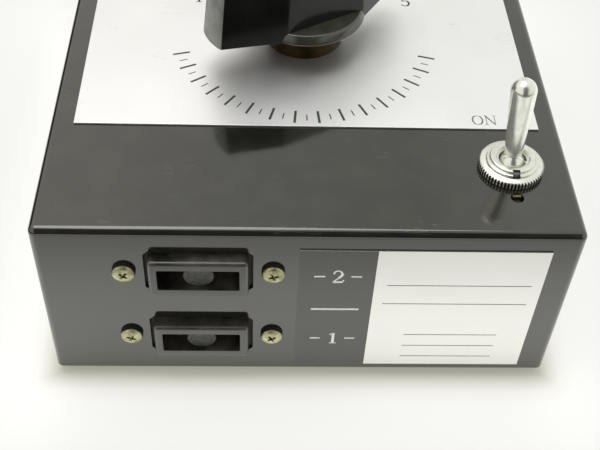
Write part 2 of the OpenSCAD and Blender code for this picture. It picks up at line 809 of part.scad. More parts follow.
module knob() {
    cap_round = 1.2;
    slice = 0.1;
    rim_bevel_r = 0.4;
    skirt_slope = 1.1;
    recess_r = skirt_r - 3.5;
    recess_h = 2;
    color([0.05, 0.05, 0.05]) translate([0, knob_y, knob_z]) rotate(rest_angle) difference() {
        union() {
            rotate_extrude() polygon([[0, 0], [skirt_r - rim_bevel_r, 0], [skirt_r, rim_bevel_r],
                [skirt_r - skirt_slope + rim_bevel_r, skirt_h - rim_bevel_r],
                    [skirt_r - skirt_slope, skirt_h],
                [0, skirt_h + skirt_slope]]);
            hull() {
                linear_extrude(slice) polygon(knob_outline(0));
                translate([0, 0, knob_h - cap_round]) linear_extrude(slice)
                    polygon(knob_outline(bar_draft));
                translate([0, 0, knob_h - slice])
                    linear_extrude(slice) polygon(knob_outline(bar_draft + cap_round));
            }
        }
        translate([0, 0, -1]) cylinder(d = insert_d + 2 * seat, h = insert_l + 1 + insert_lift);
        difference() {
            translate([0, 0, -1]) cylinder(r = recess_r, h = recess_h + 1);
            translate([0, 0, -2]) cylinder(d = insert_d + 4, h = recess_h + 3);
        }
        translate([0, 0, set_screw_z]) rotate([-90, 0, 0])
            cylinder(d = set_screw_d + 4 * seat, h = skirt_r + 5);
    }
}

module knob_insert() {
    color([0.75, 0.62, 0.34]) translate([0, knob_y, knob_z]) rotate(rest_angle) difference() {
        translate([0, 0, insert_lift]) cylinder(d = insert_d, h = insert_l - seat);
        translate([0, 0, -1]) cylinder(d = shaft_d + 2 * seat, h = insert_l - 1);
        translate([0, 0, set_screw_z]) rotate([-90, 0, 0])
            cylinder(d = set_screw_d + 2 * seat, h = insert_d);
    }
}

module knob_set_screw() {
    reach = bar_half_w - bar_draft - 1.4;
    start = shaft_d / 2 - shaft_flat + seat;
    slot_w = 0.8;
    color("silver") translate([0, knob_y, knob_z + set_screw_z]) rotate(rest_angle) rotate([-90, 0, 0])
        difference() {
            translate([0, 0, start]) cylinder(d = set_screw_d, h = reach - start);
            translate([-slot_w / 2, -set_screw_d, reach - 1]) cube([slot_w, 2 * set_screw_d, 2]);
        }
}

module switch_shaft() {
    color("silver") translate([0, knob_y, 0]) rotate(rest_angle) difference() {
        translate([0, 0, shaft_end]) cylinder(d = shaft_d, h = shaft_top - shaft_end);
        translate([-shaft_d, shaft_d / 2 - shaft_flat, knob_z + insert_lift])
            cube([2 * shaft_d, shaft_d, insert_l]);
    }
}

module detent_star() {
    color("silver") translate([0, knob_y, star_z]) difference() {
        cylinder(r = star_r, h = star_t);
        translate([0, 0, -1]) cylinder(d = shaft_d + 2 * seat, h = star_t + 2);
        for (i = [0:star_notches - 1])
            rotate(i * 360 / star_notches) translate([star_r + notch_r / 2, 0, -1])
                cylinder(r = notch_r, h = star_t + 2);
    }
}

module rotor() {
    color([0.45, 0.26, 0.12]) translate([0, knob_y, rotor_z])
        tube(2 * rotor_r, shaft_d + 2 * seat, rotor_t);
}

module wiper() {
    arm_w = 3;
    color([0.8, 0.66, 0.36]) translate([0, knob_y, wiper_z]) rotate(wiper_angle) difference() {
        union() {
            cylinder(r = rotor_r - 0.6, h = wiper_t);
            translate([0, -arm_w / 2, 0]) cube([pad_r0 + 5, arm_w, wiper_t]);
        }
        translate([0, 0, -1]) cylinder(d = shaft_d + 2 * seat, h = wiper_t + 2);
    }
}

module shaft_clip() {
    clip_d = shaft_d + 4;
    color("silver") translate([0, knob_y, clip_z]) tube(clip_d, shaft_d + 2 * seat, clip_t);
}

// ---- Toggle switch ----

module toggle_dress_nut() {
    knurl_h = dress_ring_h - 0.5;
    knurl_depth = 0.35;
    slot_w = 1.9;
    slot_in = 1.7;
    step_z = dress_ring_h - knurl_h;
    step_top = dress_h - knurl_h;
    color("silver") translate([toggle_x, toggle_y, top_z]) difference() {
        union() {
            linear_extrude(knurl_h) polygon([for (i = [0:2 * knurls - 1])
                (dress_d / 2 - (i % 2) * knurl_depth) * [cos(180 * i / knurls), sin(180 * i / knurls)]]);
            translate([0, 0, knurl_h]) rotate_extrude() polygon([
                [0, 0], [dress_d / 2 - knurl_depth - 0.1, 0],
                [dress_d / 2 - 0.9, step_z], [dress_step_d / 2, step_z + 0.2],
                [dress_step_d / 2 - 0.3, step_top - 0.3], [dress_step_d / 2 - 0.9, step_top],
                [0, step_top + 0.2]]);
        }
        translate([0, 0, -1])
            cylinder(d = toggle_bush_d + 2 * screw_clear, h = bush_top - top_z + 1 + seat);
        translate([0, 0, -1]) cylinder(d = 2 * bush_bore_r + 1.2, h = dress_h + 3);
        for (turn = [0, 180])
            rotate(turn) translate([-slot_w / 2, dress_step_d / 2 - slot_in, dress_ring_h - 0.2])
                cube([slot_w, slot_in + 0.3, dress_h]);
    }
}

module toggle_washer() {
    washer_d = toggle_bush_d + 5;
    tab_reach = locate_pitch + 0.9;
    tab_thick = 0.8;
    color([0.75, 0.62, 0.34]) translate([toggle_x, toggle_y, under_z - toggle_washer_t]) {
        difference() {
            union() {
                cylinder(d = washer_d, h = toggle_washer_t);
                translate([-locate_tab_w / 2, -tab_reach, 0])
                    cube([locate_tab_w, tab_reach, toggle_washer_t]);
            }
            translate([0, 0, -1]) cylinder(d = toggle_bush_d + 2 * screw_clear, h = toggle_washer_t + 2);
        }
        translate([-locate_tab_w / 2, -tab_reach, 0])
            cube([locate_tab_w, tab_thick, toggle_washer_t + sheet_t - 0.1]);
    }
}

module toggle_back_nut() {
    color("silver") translate([toggle_x, toggle_y, under_z - toggle_washer_t - back_nut_h])
        hex_nut(toggle_bush_d + 5, toggle_bush_d + 2 * screw_clear, back_nut_h);
}

module toggle_bushing() {
    color("silver") translate([toggle_x, toggle_y, 0]) difference() {
        translate([0, 0, bush_bottom]) cylinder(d = toggle_bush_d, h = bush_top - bush_bottom);
        translate([0, 0, bush_bottom - 1]) cylinder(r = bush_bore_r, h = bush_top - bush_bottom + 2);
        translate([-toggle_bush_d, 0, pivot_z]) rotate([0, 90, 0])
            cylinder(d = pin_d + 2 * seat, h = 2 * toggle_bush_d);
    }
}

module toggle_frame() {
    ear_d = 10;
    ear_h = 9;
    ear_x = housing_w / 2 + seat;
    color([0.7, 0.7, 0.68]) translate([toggle_x, toggle_y, housing_top]) {
        difference() {
            translate([-ear_x - frame_t, -housing_d / 2, 0])
                cube([2 * (ear_x + frame_t), housing_d, frame_t]);
            translate([0, 0, -1]) cylinder(r = bush_bore_r + 0.3, h = frame_t + 2);
        }
        for (side = [0, 1])
            mirror([side, 0, 0]) translate([ear_x, -ear_d / 2, -ear_h])
                cube([frame_t, ear_d, ear_h + frame_t]);
    }
}

module toggle_housing() {
    stop_top = rocker_pivot_z - rocker_t / 2 - rocker_gap - housing_z;
    stop_d = 1.5;
    color([0.3, 0.13, 0.07]) translate([toggle_x, toggle_y, housing_z]) {
        difference() {
            translate([-housing_w / 2, -housing_d / 2, 0]) cube([housing_w, housing_d, housing_h]);
            translate([-housing_w / 2 + housing_wall, -housing_d / 2 + housing_wall, housing_floor])
                cube([housing_w - 2 * housing_wall, housing_d - 2 * housing_wall, housing_h]);
            for (y = [0, switched_y])
                translate([-terminal_w / 2 - seat, y - terminal_t / 2 - seat, -1])
                    cube([terminal_w + 2 * seat, terminal_t + 2 * seat, housing_floor + 2]);
        }
        translate([-rocker_w / 2, rocker_arm - stop_d, housing_floor - seat])
            cube([rocker_w, stop_d, stop_top - housing_floor + seat]);
    }
}

// Common terminal under the rocker's middle, and the switched terminal under its front arm.
module toggle_terminals() {
    tops = [[0, rocker_pivot_z - rocker_bead_d / 2], [switched_y, rocker_pivot_z - rocker_t / 2]];
    color([0.8, 0.66, 0.36]) for (place = tops)
        translate([toggle_x - terminal_w / 2, toggle_y + place[0] - terminal_t / 2, housing_z - terminal_l])
            cube([terminal_w, terminal_t, place[1] - rocker_gap - housing_z + terminal_l]);
}

module toggle_pin() {
    l = toggle_bush_d - 0.4;
    color("silver") translate([toggle_x - l / 2, toggle_y, pivot_z]) rotate([0, 90, 0])
        cylinder(d = pin_d, h = l);
}

module toggle_lever() {
    color("silver") translate([toggle_x, toggle_y, pivot_z]) rotate([-lever_lean, 0, 0]) difference() {
        union() {
            sphere(d = lever_ball_d);
            cylinder(d1 = lever_root_d, d2 = tip_d - 0.3, h = lever_l - 1.2);
            translate([0, 0, lever_l]) sphere(d = tip_d);
            translate([0, 0, -tail_l + tail_d / 2]) cylinder(d = tail_d, h = tail_l - tail_d / 2);
            translate([0, 0, -tail_l + tail_d / 2]) sphere(d = tail_d);
        }
        translate([-lever_ball_d, 0, 0]) rotate([0, 90, 0])
            cylinder(d = pin_d + 2 * run_clear, h = 2 * lever_ball_d);
    }
}

// Rocking contact: a shallow V whose front arm lies flat on the switched terminal at rest.
module toggle_rocker() {
    c = cos(lever_lean);
    s = sin(lever_lean);
    h = rocker_t / 2;
    tip = [rocker_arm * c, rocker_arm * s];
    color([0.8, 0.66, 0.36]) translate([toggle_x, toggle_y, rocker_pivot_z]) rotate([lever_lean, 0, 0])
        rotate([90, 0, 90]) linear_extrude(rocker_w, center = true) {
            polygon([[0, -h / c], [tip.x, tip.y - h / c], [tip.x, tip.y + h / c],
                [0, h / c], [-tip.x, tip.y + h / c], [-tip.x, tip.y - h / c]]);
            difference() {
                circle(d = rocker_bead_d);
                translate([-rocker_bead_d, h]) square([2 * rocker_bead_d, rocker_bead_d]);
            }
        }
}

// ---- Transformer ----

module core_holes(y_side) {
    for (side = [-1, 1])
        translate([side * core_hole_x, y_side * core_hole_y, -stack_h])
            cylinder(d = core_bolt_d + 4 * screw_clear, h = 2 * stack_h);
}

module core_e_stack() {
    e_depth = core_d - leg_w;
    color([0.42, 0.43, 0.45]) translate([0, core_y, core_z]) difference() {
        translate([-core_w / 2, -core_d / 2, -stack_h / 2]) cube([core_w, e_depth, stack_h]);
        for (side = [-1, 1])
            translate([side * (mid_leg_w / 2 + leg_w / 2) - leg_w / 2, -core_d / 2 + leg_w, -stack_h])
                cube([leg_w, e_depth, 2 * stack_h]);
        core_holes(-1);
    }
}

module core_i_stack() {
    color([0.42, 0.43, 0.45]) translate([0, core_y, core_z]) difference() {
        translate([-core_w / 2, core_d / 2 - leg_w, -stack_h / 2]) cube([core_w, leg_w, stack_h]);
        core_holes(1);
    }
}

// Moves its children to the bobbin's axis, with +Z of the profile's extrusion along +Y.
module along_coil(from) {
    translate([0, from, core_z]) rotate([90, 0, 0]) mirror([0, 0, 1]) children();
}

module bobbin() {
    color([0.85, 0.8, 0.68]) along_coil(coil_y0) difference() {
        union() {
            linear_extrude(coil_l) square([2 * bobbin_x, 2 * bobbin_z], center = true);
            for (z = [0, coil_l - bobbin_wall])
                translate([0, 0, z]) linear_extrude(bobbin_wall)
                    square([2 * flange_x, 2 * flange_z], center = true);
        }
        translate([0, 0, -1]) linear_extrude(coil_l + 2)
            square([2 * (bobbin_x - bobbin_wall), 2 * (bobbin_z - bobbin_wall)], center = true);
    }
}

module winding_ring(outer_in, inner_x, inner_z, inner_r) {
    margin = bobbin_wall + seat;
    along_coil(coil_y0 + margin) linear_extrude(coil_l - 2 * margin) difference() {
        round_rect(2 * (flange_x - outer_in), 2 * (flange_z - outer_in), 5 - outer_in);
        if (inner_r > 0) round_rect(2 * inner_x, 2 * inner_z, inner_r);
        else square([2 * inner_x, 2 * inner_z], center = true);
    }
}

module winding() {
    color([0.66, 0.33, 0.14]) winding_ring(winding_in + wrap_t, bobbin_x + seat, bobbin_z + seat, 0);
}

module coil_wrap() {
    gap = winding_in + wrap_t - seat;
    color([0.9, 0.75, 0.3]) winding_ring(winding_in, flange_x - gap, flange_z - gap, 5 - gap);
}

module core_bolts() {
    length = core_top + core_nut_h + 1 - foot_h;
    color("silver") translate([0, core_y, foot_h]) at_corners(core_hole_x, core_hole_y)
        mirror([0, 0, 1]) pan_screw(core_bolt_d, length, core_head_d, cover_head_h);
}

module core_nuts() {
    color("silver") translate([0, core_y, core_top]) at_corners(core_hole_x, core_hole_y)
        hex_nut(core_nut_d, core_bolt_d + 2 * screw_clear, core_nut_h);
}

module core_spacers() {
    color([0.7, 0.7, 0.68]) translate([0, core_y, floor_z]) at_corners(core_hole_x, core_hole_y)
        tube(8, core_bolt_d + 2 * screw_clear, core_z - stack_h / 2 - floor_z);
}

// ---- Terminal strip, grommet and fuse ----

module terminal_strip() {
    color([0.45, 0.26, 0.12]) translate([strip_x - strip_t, strip_y - strip_l / 2, strip_z])
        cube([strip_t, strip_l, strip_h]);
}

// Two angle feet, riveted to the strip and screwed to the bottom cover.
module strip_feet() {
    leg_h = strip_z + strip_h / 2 - floor_z;
    foot_w = 6;
    color("silver") for (end = [-1, 1])
        translate([strip_x, strip_y + end * strip_foot_y - foot_w / 2, floor_z]) difference() {
            union() {
                cube([strip_foot_w, foot_w, strip_foot_t]);
                cube([strip_foot_t, foot_w, leg_h]);
            }
            translate([strip_foot_w / 2, foot_w / 2, -1])
                cylinder(d = m3_d + 2 * screw_clear, h = strip_foot_t + 2);
        }
}

function lug_y(i) = strip_y - strip_l / 2 + (i + 0.5) * lug_pitch;

module strip_lugs() {
    rise = 3;
    color([0.8, 0.66, 0.36]) for (i = [0:strip_lugs_n - 1])
        translate([strip_x - strip_t - lug_t, lug_y(i) - lug_w / 2, strip_z + rise])
            cube([lug_t, lug_w, strip_h - rise + lug_h]);
}

module strip_screws() {
    color("silver") for (end = [-1, 1])
        translate([strip_x + strip_foot_w / 2, strip_y + end * strip_foot_y, foot_h]) mirror([0, 0, 1])
            pan_screw(m3_d, cover_t + strip_foot_t + 2, pan_d, cover_head_h);
}

// Moves its children to a fitting on the back wall, with +Z out of the back.
module at_back(x) {
    translate([x, back_y, fitting_z]) rotate([-90, 0, 0]) children();
}

module cord_grommet() {
    bore_r = cord_bore_d / 2;
    neck_r = grommet_neck_d / 2;
    rim_r = grommet_d / 2;
    bevel = 0.8;
    inner_z = grommet_out - grommet_l;
    color([0.06, 0.06, 0.06]) at_back(grommet_x) rotate_extrude() polygon([
        [bore_r, inner_z], [rim_r - bevel, inner_z], [rim_r, inner_z + bevel], [rim_r, -sheet_t - seat],
        [neck_r, -sheet_t - seat], [neck_r, seat], [rim_r, seat],
        [rim_r, grommet_out - bevel], [rim_r - bevel, grommet_out], [bore_r, grommet_out]]);
}

module fuse_body() {
    pin_hole_d = fuse_pin_d + 2 * seat;
    color([0.07, 0.07, 0.07]) at_back(fuse_x) difference() {
        union() {
            cylinder(d = fuse_flange_d, h = fuse_flange_t);
            translate([0, 0, -fuse_thread_l]) cylinder(d = fuse_thread_d, h = fuse_thread_l);
            translate([0, 0, -fuse_body_l]) cylinder(d = fuse_body_d, h = fuse_body_l);
        }
        translate([0, 0, -fuse_mouth_l]) cylinder(d = fuse_mouth_d, h = fuse_mouth_l + fuse_flange_t + 1);
        translate([0, 0, fuse_floor - fuse_body_l]) cylinder(d = fuse_bore_d, h = fuse_body_l);
        translate([0, 0, -fuse_body_l - 1]) cylinder(d = pin_hole_d, h = fuse_floor + 2);
    }
}

module fuse_nut() {
    color([0.07, 0.07, 0.07]) at_back(fuse_x) translate([0, 0, -sheet_t - fuse_nut_h]) rotate(30)
        hex_nut(fuse_nut_d, fuse_thread_d + 2 * screw_clear, fuse_nut_h);
}

module fuse_terminals() {
    rivet_t = 0.8;
    head_top = fuse_floor + 0.1 + rivet_t - fuse_body_l;
    pin_end = -fuse_body_l - fuse_pin_l;
    color([0.8, 0.66, 0.36]) at_back(fuse_x) {
        translate([0, 0, pin_end]) cylinder(d = fuse_pin_d, h = head_top - pin_end);
        translate([0, 0, -fuse_body_l - rivet_t - 0.1]) cylinder(d = rivet_d + 1, h = rivet_t);
        translate([0, 0, head_top - rivet_t]) cylinder(d = rivet_d, h = rivet_t);
        translate([-side_lug_w / 2, fuse_body_d / 2 + seat, -side_lug_z]) {
            cube([side_lug_w, lug_t, side_lug_l]);
            cube([side_lug_w, side_lug_l, lug_t]);
        }
    }
}

module fuse_cap() {
    slot_w = 1.6;
    slot_d = 1.8;
    bevel = 1;
    stem_end = fuse_flange_t - cap_stem_l;
    color([0.07, 0.07, 0.07]) at_back(fuse_x) difference() {
        union() {
            translate([0, 0, fuse_flange_t + seat])
                cylinder(d = cap_d, h = fuse_proud - fuse_flange_t - seat - bevel);
            translate([0, 0, fuse_proud - bevel]) cylinder(d1 = cap_d, d2 = cap_d - 2 * bevel, h = bevel);
            translate([0, 0, stem_end]) cylinder(d = cap_stem_d, h = cap_stem_l + 1);
        }
        translate([0, 0, stem_end - 1])
            cylinder(d = fuse_d + 0.3, h = fuse_in + fuse_l + 0.1 - stem_end + 1);
        translate([-cap_d, -slot_w / 2, fuse_proud - slot_d]) cube([2 * cap_d, slot_w, 2 * slot_d]);
    }
}

module fuse() {
    color([0.8, 0.8, 0.78]) at_back(fuse_x) translate([0, 0, fuse_in]) cylinder(d = fuse_d, h = fuse_l);
}

// ---- Leads ----

function at_lug(angle, r, z) = [r * cos(angle), knob_y + r * sin(angle), z];

// The last points of a route that rises straight up to a terminal's end.
function rise_to(p) = [p - [0, 0, 4], p - [0, 0, 1.5], p];

// Tap leads: from the coil's front, over the core, under the wafer and up to each contact's lug.
module tap_leads() {
    color([0.75, 0.3, 0.12]) for (i = [0:positions - 1]) {
        x = tap_pitch * (i - (positions - 1) / 2);
        lug = at_lug(wiper_angle + i * step_angle, lug_reach - 1.5, pad_z - lead_gap);
        run_z = shaft_end - 5;
        wire(smooth(concat([
            [x, coil_y0 - lead_gap, coil_lead_z],
            [x, coil_y0 - 1, coil_lead_z],
            [x, coil_y0 - 2, coil_lead_z],
            [x, core_front + 3, core_top + 4.5],
            [x, core_front - 0.8, core_top + 1.8],
            [x, core_front - 1.4, core_top - 3],
            [x, core_front - 1.6, core_top - 9],
            [x, core_front - 5, run_z],
            [(x + lug.x) / 2, (knob_y + lug.y) / 2, run_z]], rise_to(lug)), 4), lead_d);
    }
}

// Supply leads: fuse to toggle, toggle to the common lug, strip to fuse, coil and outlets, and the jumpers
// between the two outlets.
module supply_leads() {
    beside = contact_leaf_t / 2 + lead_d / 2 + lead_gap;
    tip = [fuse_x, back_y - fuse_body_l - fuse_pin_l - lead_gap, fitting_z];
    side_tab = [fuse_x, back_y - side_lug_z + lug_t / 2,
        fitting_z - fuse_body_d / 2 - side_lug_l - seat - lead_gap];
    toggle_end = housing_z - terminal_l - lead_gap;
    common = at_lug(common_angle, lug_reach - 1.5, pad_z - lead_gap);
    lug_top = strip_z + strip_h + lug_h + lead_gap;
    lug_x = strip_x - strip_t - lug_t / 2;
    tail_end = front_y + sheet_t + outlet_body_d + contact_tail_l;
    low_z = foot_h + outlet_low_z;
    high_z = low_z + outlet_pitch;
    left_x = -outlet_x - blade_pitch / 2;
    right_x = -outlet_x + blade_pitch / 2;
    coil_x = flange_x - coil_lead_inset;
    coil_y = coil_y0 - lead_gap;
    high_lead_z = coil_top - 2.7;
    routes = [
        concat([tip, tip - [0, 2, 0], tip - [0, 7, 1],
            [toggle_x + 6, (tip.y + toggle_y) / 2 - 3, fitting_z - 6],
            [toggle_x + 3, toggle_y + 12, toggle_end - 8],
            [toggle_x, toggle_y + switched_y + 3, toggle_end - 8]],
            rise_to([toggle_x, toggle_y + switched_y, toggle_end])),
        concat([for (h = [0, 1.5, 4]) [toggle_x, toggle_y, toggle_end - h]],
            [[toggle_x - 4, toggle_y + 6, toggle_end - 8], [toggle_x - 14, toggle_y + 26, toggle_end - 6],
            [common.x + 5, common.y - 4, common.z - 8]], rise_to(common)),
        concat([for (h = [0, 1.5, 4]) [lug_x, lug_y(0), lug_top + h]],
            [[lug_x + 6, lug_y(0) - 9, floor_z + 16], [-24, core_front - 8, floor_z + 5],
            [0, core_front - 6, floor_z + 4], [24, core_front - 8, floor_z + 5],
            [fuse_x - 8, core_front + 8, floor_z + 6], [fuse_x - 2, side_tab.y - 6, side_tab.z - 8]],
            rise_to(side_tab)),
        concat([for (h = [0, 1.5, 4]) [lug_x, lug_y(1), lug_top + h]],
            [[-flange_x - 12, core_front - 2, high_lead_z], [-flange_x + 2, core_front + 1, high_lead_z],
            [-coil_x, coil_y0 - 3, coil_lead_z], [-coil_x, coil_y, coil_lead_z]]),
        concat([for (h = [0, 1.5, 4]) [lug_x, lug_y(2), lug_top + h]],
            [[lug_x - 3, lug_y(1), lug_top + 6], [lug_x - 4, lug_y(0) - 8, lug_top + 4],
            [left_x - 8, tail_end + 20, low_z + 6], [left_x, tail_end + 8, low_z],
            [left_x, tail_end + 2, low_z], [left_x, tail_end + lead_gap, low_z]]),
        [[coil_x, coil_y, coil_lead_z], [coil_x, coil_y0 - 3, coil_lead_z],
            [flange_x - 2, core_front + 1, coil_lead_z], [detent_r + 6, core_front - 6, coil_lead_z - 1],
            [detent_r + 7, knob_y, coil_lead_z - 2], [detent_r, knob_y - 22, coil_lead_z - 3],
            [0, tail_end + 20, high_z + 2], [right_x, tail_end + 8, high_z],
            [right_x, tail_end + 2, high_z], [right_x, tail_end + lead_gap, high_z]],
        for (x = [left_x - beside, right_x + beside])
            [[x, tail_end - 4, high_z], [x, tail_end + 2, high_z - 3],
                [x, tail_end + 3, (high_z + low_z) / 2],
                [x, tail_end + 2, low_z + 3], [x, tail_end - 4, low_z]]];
    color([0.2, 0.2, 0.7]) for (route = routes)
        wire(smooth(route, 4), lead_d);
}

case_shell();
bottom_cover();
cover_screws();
rubber_feet();
dial_plate();
front_plate();
outlet_body_upper();
outlet_body_lower();
outlet_contacts_upper();
outlet_contacts_lower();
outlet_screws();
outlet_nuts();
round_nut();
lock_washer();
switch_bushing();
detent_housing();
detent_ball();
detent_spring();
switch_wafer();
tap_contacts();
wafer_spacers();
tie_screws();
knob();
knob_insert();
knob_set_screw();
switch_shaft();
detent_star();
rotor();
wiper();
shaft_clip();
toggle_dress_nut();
toggle_washer();
toggle_back_nut();
toggle_bushing();
toggle_frame();
toggle_housing();
toggle_terminals();
toggle_pin();
toggle_lever();
toggle_rocker();
core_e_stack();
core_i_stack();
bobbin();
winding();
coil_wrap();
core_bolts();
core_nuts();
core_spacers();
terminal_strip();
strip_feet();
strip_lugs();
strip_screws();
cord_grommet();
fuse_body();
fuse_nut();
fuse_terminals();
fuse_cap();
fuse();
tap_leads();
supply_leads();
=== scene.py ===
"""Dressed model of a tapped autotransformer: a gloss black steel case, a pointer knob, a toggle, two outlets.

Sizes are in millimetres and angles in degrees, apart from the surround, the lamp's size and the finishes' scales.
"""

import json
import logging
import math
from contextlib import contextmanager
from dataclasses import dataclass, field
from enum import Enum
from typing import Callable, ClassVar, Iterator, Sequence

import bmesh
import bpy
from mathutils import Matrix, Vector


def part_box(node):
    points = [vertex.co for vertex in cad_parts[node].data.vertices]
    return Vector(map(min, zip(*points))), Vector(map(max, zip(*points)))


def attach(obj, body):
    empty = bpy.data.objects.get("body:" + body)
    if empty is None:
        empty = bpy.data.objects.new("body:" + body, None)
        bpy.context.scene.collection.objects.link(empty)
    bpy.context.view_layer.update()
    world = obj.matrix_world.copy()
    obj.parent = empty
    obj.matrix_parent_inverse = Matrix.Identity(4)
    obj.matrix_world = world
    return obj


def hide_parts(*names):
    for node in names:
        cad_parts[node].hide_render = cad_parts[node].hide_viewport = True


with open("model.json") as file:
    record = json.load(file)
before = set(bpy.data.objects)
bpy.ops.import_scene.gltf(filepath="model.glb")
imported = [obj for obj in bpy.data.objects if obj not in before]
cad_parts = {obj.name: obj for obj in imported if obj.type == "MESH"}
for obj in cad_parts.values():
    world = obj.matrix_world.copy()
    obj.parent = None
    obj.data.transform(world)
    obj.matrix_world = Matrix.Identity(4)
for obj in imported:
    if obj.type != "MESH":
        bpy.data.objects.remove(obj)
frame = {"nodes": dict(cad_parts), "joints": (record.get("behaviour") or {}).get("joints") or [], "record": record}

log = logging.getLogger("autotransformer")
MM = 0.001
SQUARE = 0.9
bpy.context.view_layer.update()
SUBPARTS: dict[str, str] = {part["node"]: part["material_slot"] for part in frame["record"]["subparts"]}

Numbers = Sequence[float]
Colour = tuple[float, float, float]
Piece = bpy.types.Object
Socket = bpy.types.NodeSocket
Element = bmesh.types.BMVert | bmesh.types.BMEdge | bmesh.types.BMFace
Ring = tuple[float, float]
Stops = Sequence[tuple[float, object]]


def vec(*values: float) -> Vector:
    """Makes a vector in metres from three millimetre values."""
    return Vector(values) * MM


def box_mm(node: str) -> tuple[Vector, Vector]:
    """Gives a CAD node's lowest and highest corners in millimetres."""
    low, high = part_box(node)
    return low / MM, high / MM


def axis_mm(joint: str) -> Vector:
    """Gives a joint's place in millimetres."""
    return Vector(next(j["pos_m"] for j in frame["joints"] if j["name"] == joint)) / MM


# ---- Workbench ----


class Cut(Enum):
    """How one solid is worked into another."""

    AWAY = "DIFFERENCE"
    ADD = "UNION"


class Pick(Enum):
    """Which elements of a mesh are worked on."""

    POINTS = "VERT"
    EDGES = "EDGE"
    FACES = "FACE"


class Ends(Enum):
    """What a turned piece does at its first and last rings."""

    CAPPED = "capped"
    JOINED = "joined"


def lone(obj: Piece) -> Piece:
    """Makes one object the only selected one, and the active one.

    Args:
        obj: the object.

    Returns:
        The same object.
    """
    bpy.ops.object.select_all(action="DESELECT")
    obj.select_set(True)
    bpy.context.view_layer.objects.active = obj
    return obj


def settled(name: str) -> Piece:
    """Puts the active object's place, turn and size into its mesh.

    Args:
        name: the piece's name.

    Returns:
        The named object, at the origin.
    """
    obj = lone(bpy.context.active_object)
    bpy.ops.object.transform_apply(location=True, rotation=True, scale=True)
    obj.name = obj.data.name = name
    return obj


@contextmanager
def shaping(obj: Piece, kind: Pick = Pick.FACES) -> Iterator[None]:
    """Opens a mesh for editing with everything selected, and closes it again.

    Args:
        obj: the mesh to work on.
        kind: which elements are selected.
    """
    lone(obj)
    bpy.ops.object.mode_set(mode="EDIT")
    bpy.ops.mesh.select_mode(type=kind.value)
    bpy.ops.mesh.select_all(action="SELECT")
    try:
        yield
    finally:
        bpy.ops.object.mode_set(mode="OBJECT")


def pick(obj: Piece, kind: Pick, test: Callable[[Element], bool]) -> None:
    """Selects the elements that pass a test, and nothing else.

    Args:
        obj: a mesh open for editing.
        kind: which elements are tried.
        test: takes one element.
    """
    bpy.ops.mesh.select_all(action="DESELECT")
    mesh = bmesh.from_edit_mesh(obj.data)
    elements = {Pick.POINTS: mesh.verts, Pick.EDGES: mesh.edges, Pick.FACES: mesh.faces}[kind]
    for element in [e for e in elements if test(e)]:
        element.select_set(True)
    bmesh.update_edit_mesh(obj.data)


def pick_faces(obj: Piece, test: Callable[[Vector, Vector], bool]) -> None:
    """Selects the faces whose centre, in millimetres, and normal pass a test."""
    pick(obj, Pick.FACES, lambda face: test(face.calc_center_median() / MM, face.normal))


def pick_edges(obj: Piece, test: Callable[[Vector, Vector], bool], sharper: float = 0.0) -> None:
    """Selects the edges whose two ends, in millimetres, pass a test.

    Args:
        obj: a mesh open for editing.
        test: takes an edge's two ends.
        sharper: the least angle between the edge's faces, in degrees.
    """

    def passes(edge: bmesh.types.BMEdge) -> bool:
        """Tells whether an edge lies where it should and is sharp enough."""
        first, second = (point.co / MM for point in edge.verts)
        return test(first, second) and (sharper == 0 or edge.calc_face_angle(0) > math.radians(sharper))

    pick(obj, Pick.EDGES, passes)


def pick_points(obj: Piece, test: Callable[[Vector], bool]) -> None:
    """Selects the points whose place, in millimetres, passes a test."""
    pick(obj, Pick.POINTS, lambda point: test(point.co / MM))


def pull(x: float, y: float, z: float) -> None:
    """Extrudes what is selected by millimetres."""
    bpy.ops.mesh.extrude_region_move(TRANSFORM_OT_translate={"value": vec(x, y, z)})


def swell(kx: float, ky: float, kz: float, about: Vector = Vector()) -> None:
    """Scales what is selected about a place in millimetres."""
    bpy.ops.transform.resize(value=(kx, ky, kz), center_override=about * MM)


def block(name: str, low: Numbers, high: Numbers) -> Piece:
    """Adds a block between two corners.

    Args:
        name: the piece's name.
        low: its lowest corner in millimetres.
        high: its highest corner in millimetres.

    Returns:
        The block, at the origin.
    """
    low, high = Vector(low), Vector(high)
    bpy.ops.object.select_all(action="DESELECT")
    bpy.ops.mesh.primitive_cube_add(size=1, location=(low + high) / 2 * MM, scale=(high - low) * MM)
    return settled(name)


def barrel(name: str, radius: float, start: Numbers, end: Numbers, steps: int = 64) -> Piece:
    """Adds a round bar between two places.

    Args:
        name: the piece's name.
        radius: its radius in millimetres.
        start: the middle of one end in millimetres.
        end: the middle of the other end in millimetres.
        steps: how many sides it has.

    Returns:
        The bar, at the origin.
    """
    start, end = Vector(start), Vector(end)
    along = end - start
    bpy.ops.object.select_all(action="DESELECT")
    bpy.ops.mesh.primitive_cylinder_add(
        vertices=steps,
        radius=radius * MM,
        depth=along.length * MM,
        location=(start + end) / 2 * MM,
        rotation=along.to_track_quat("Z", "Y").to_euler(),
    )
    return settled(name)


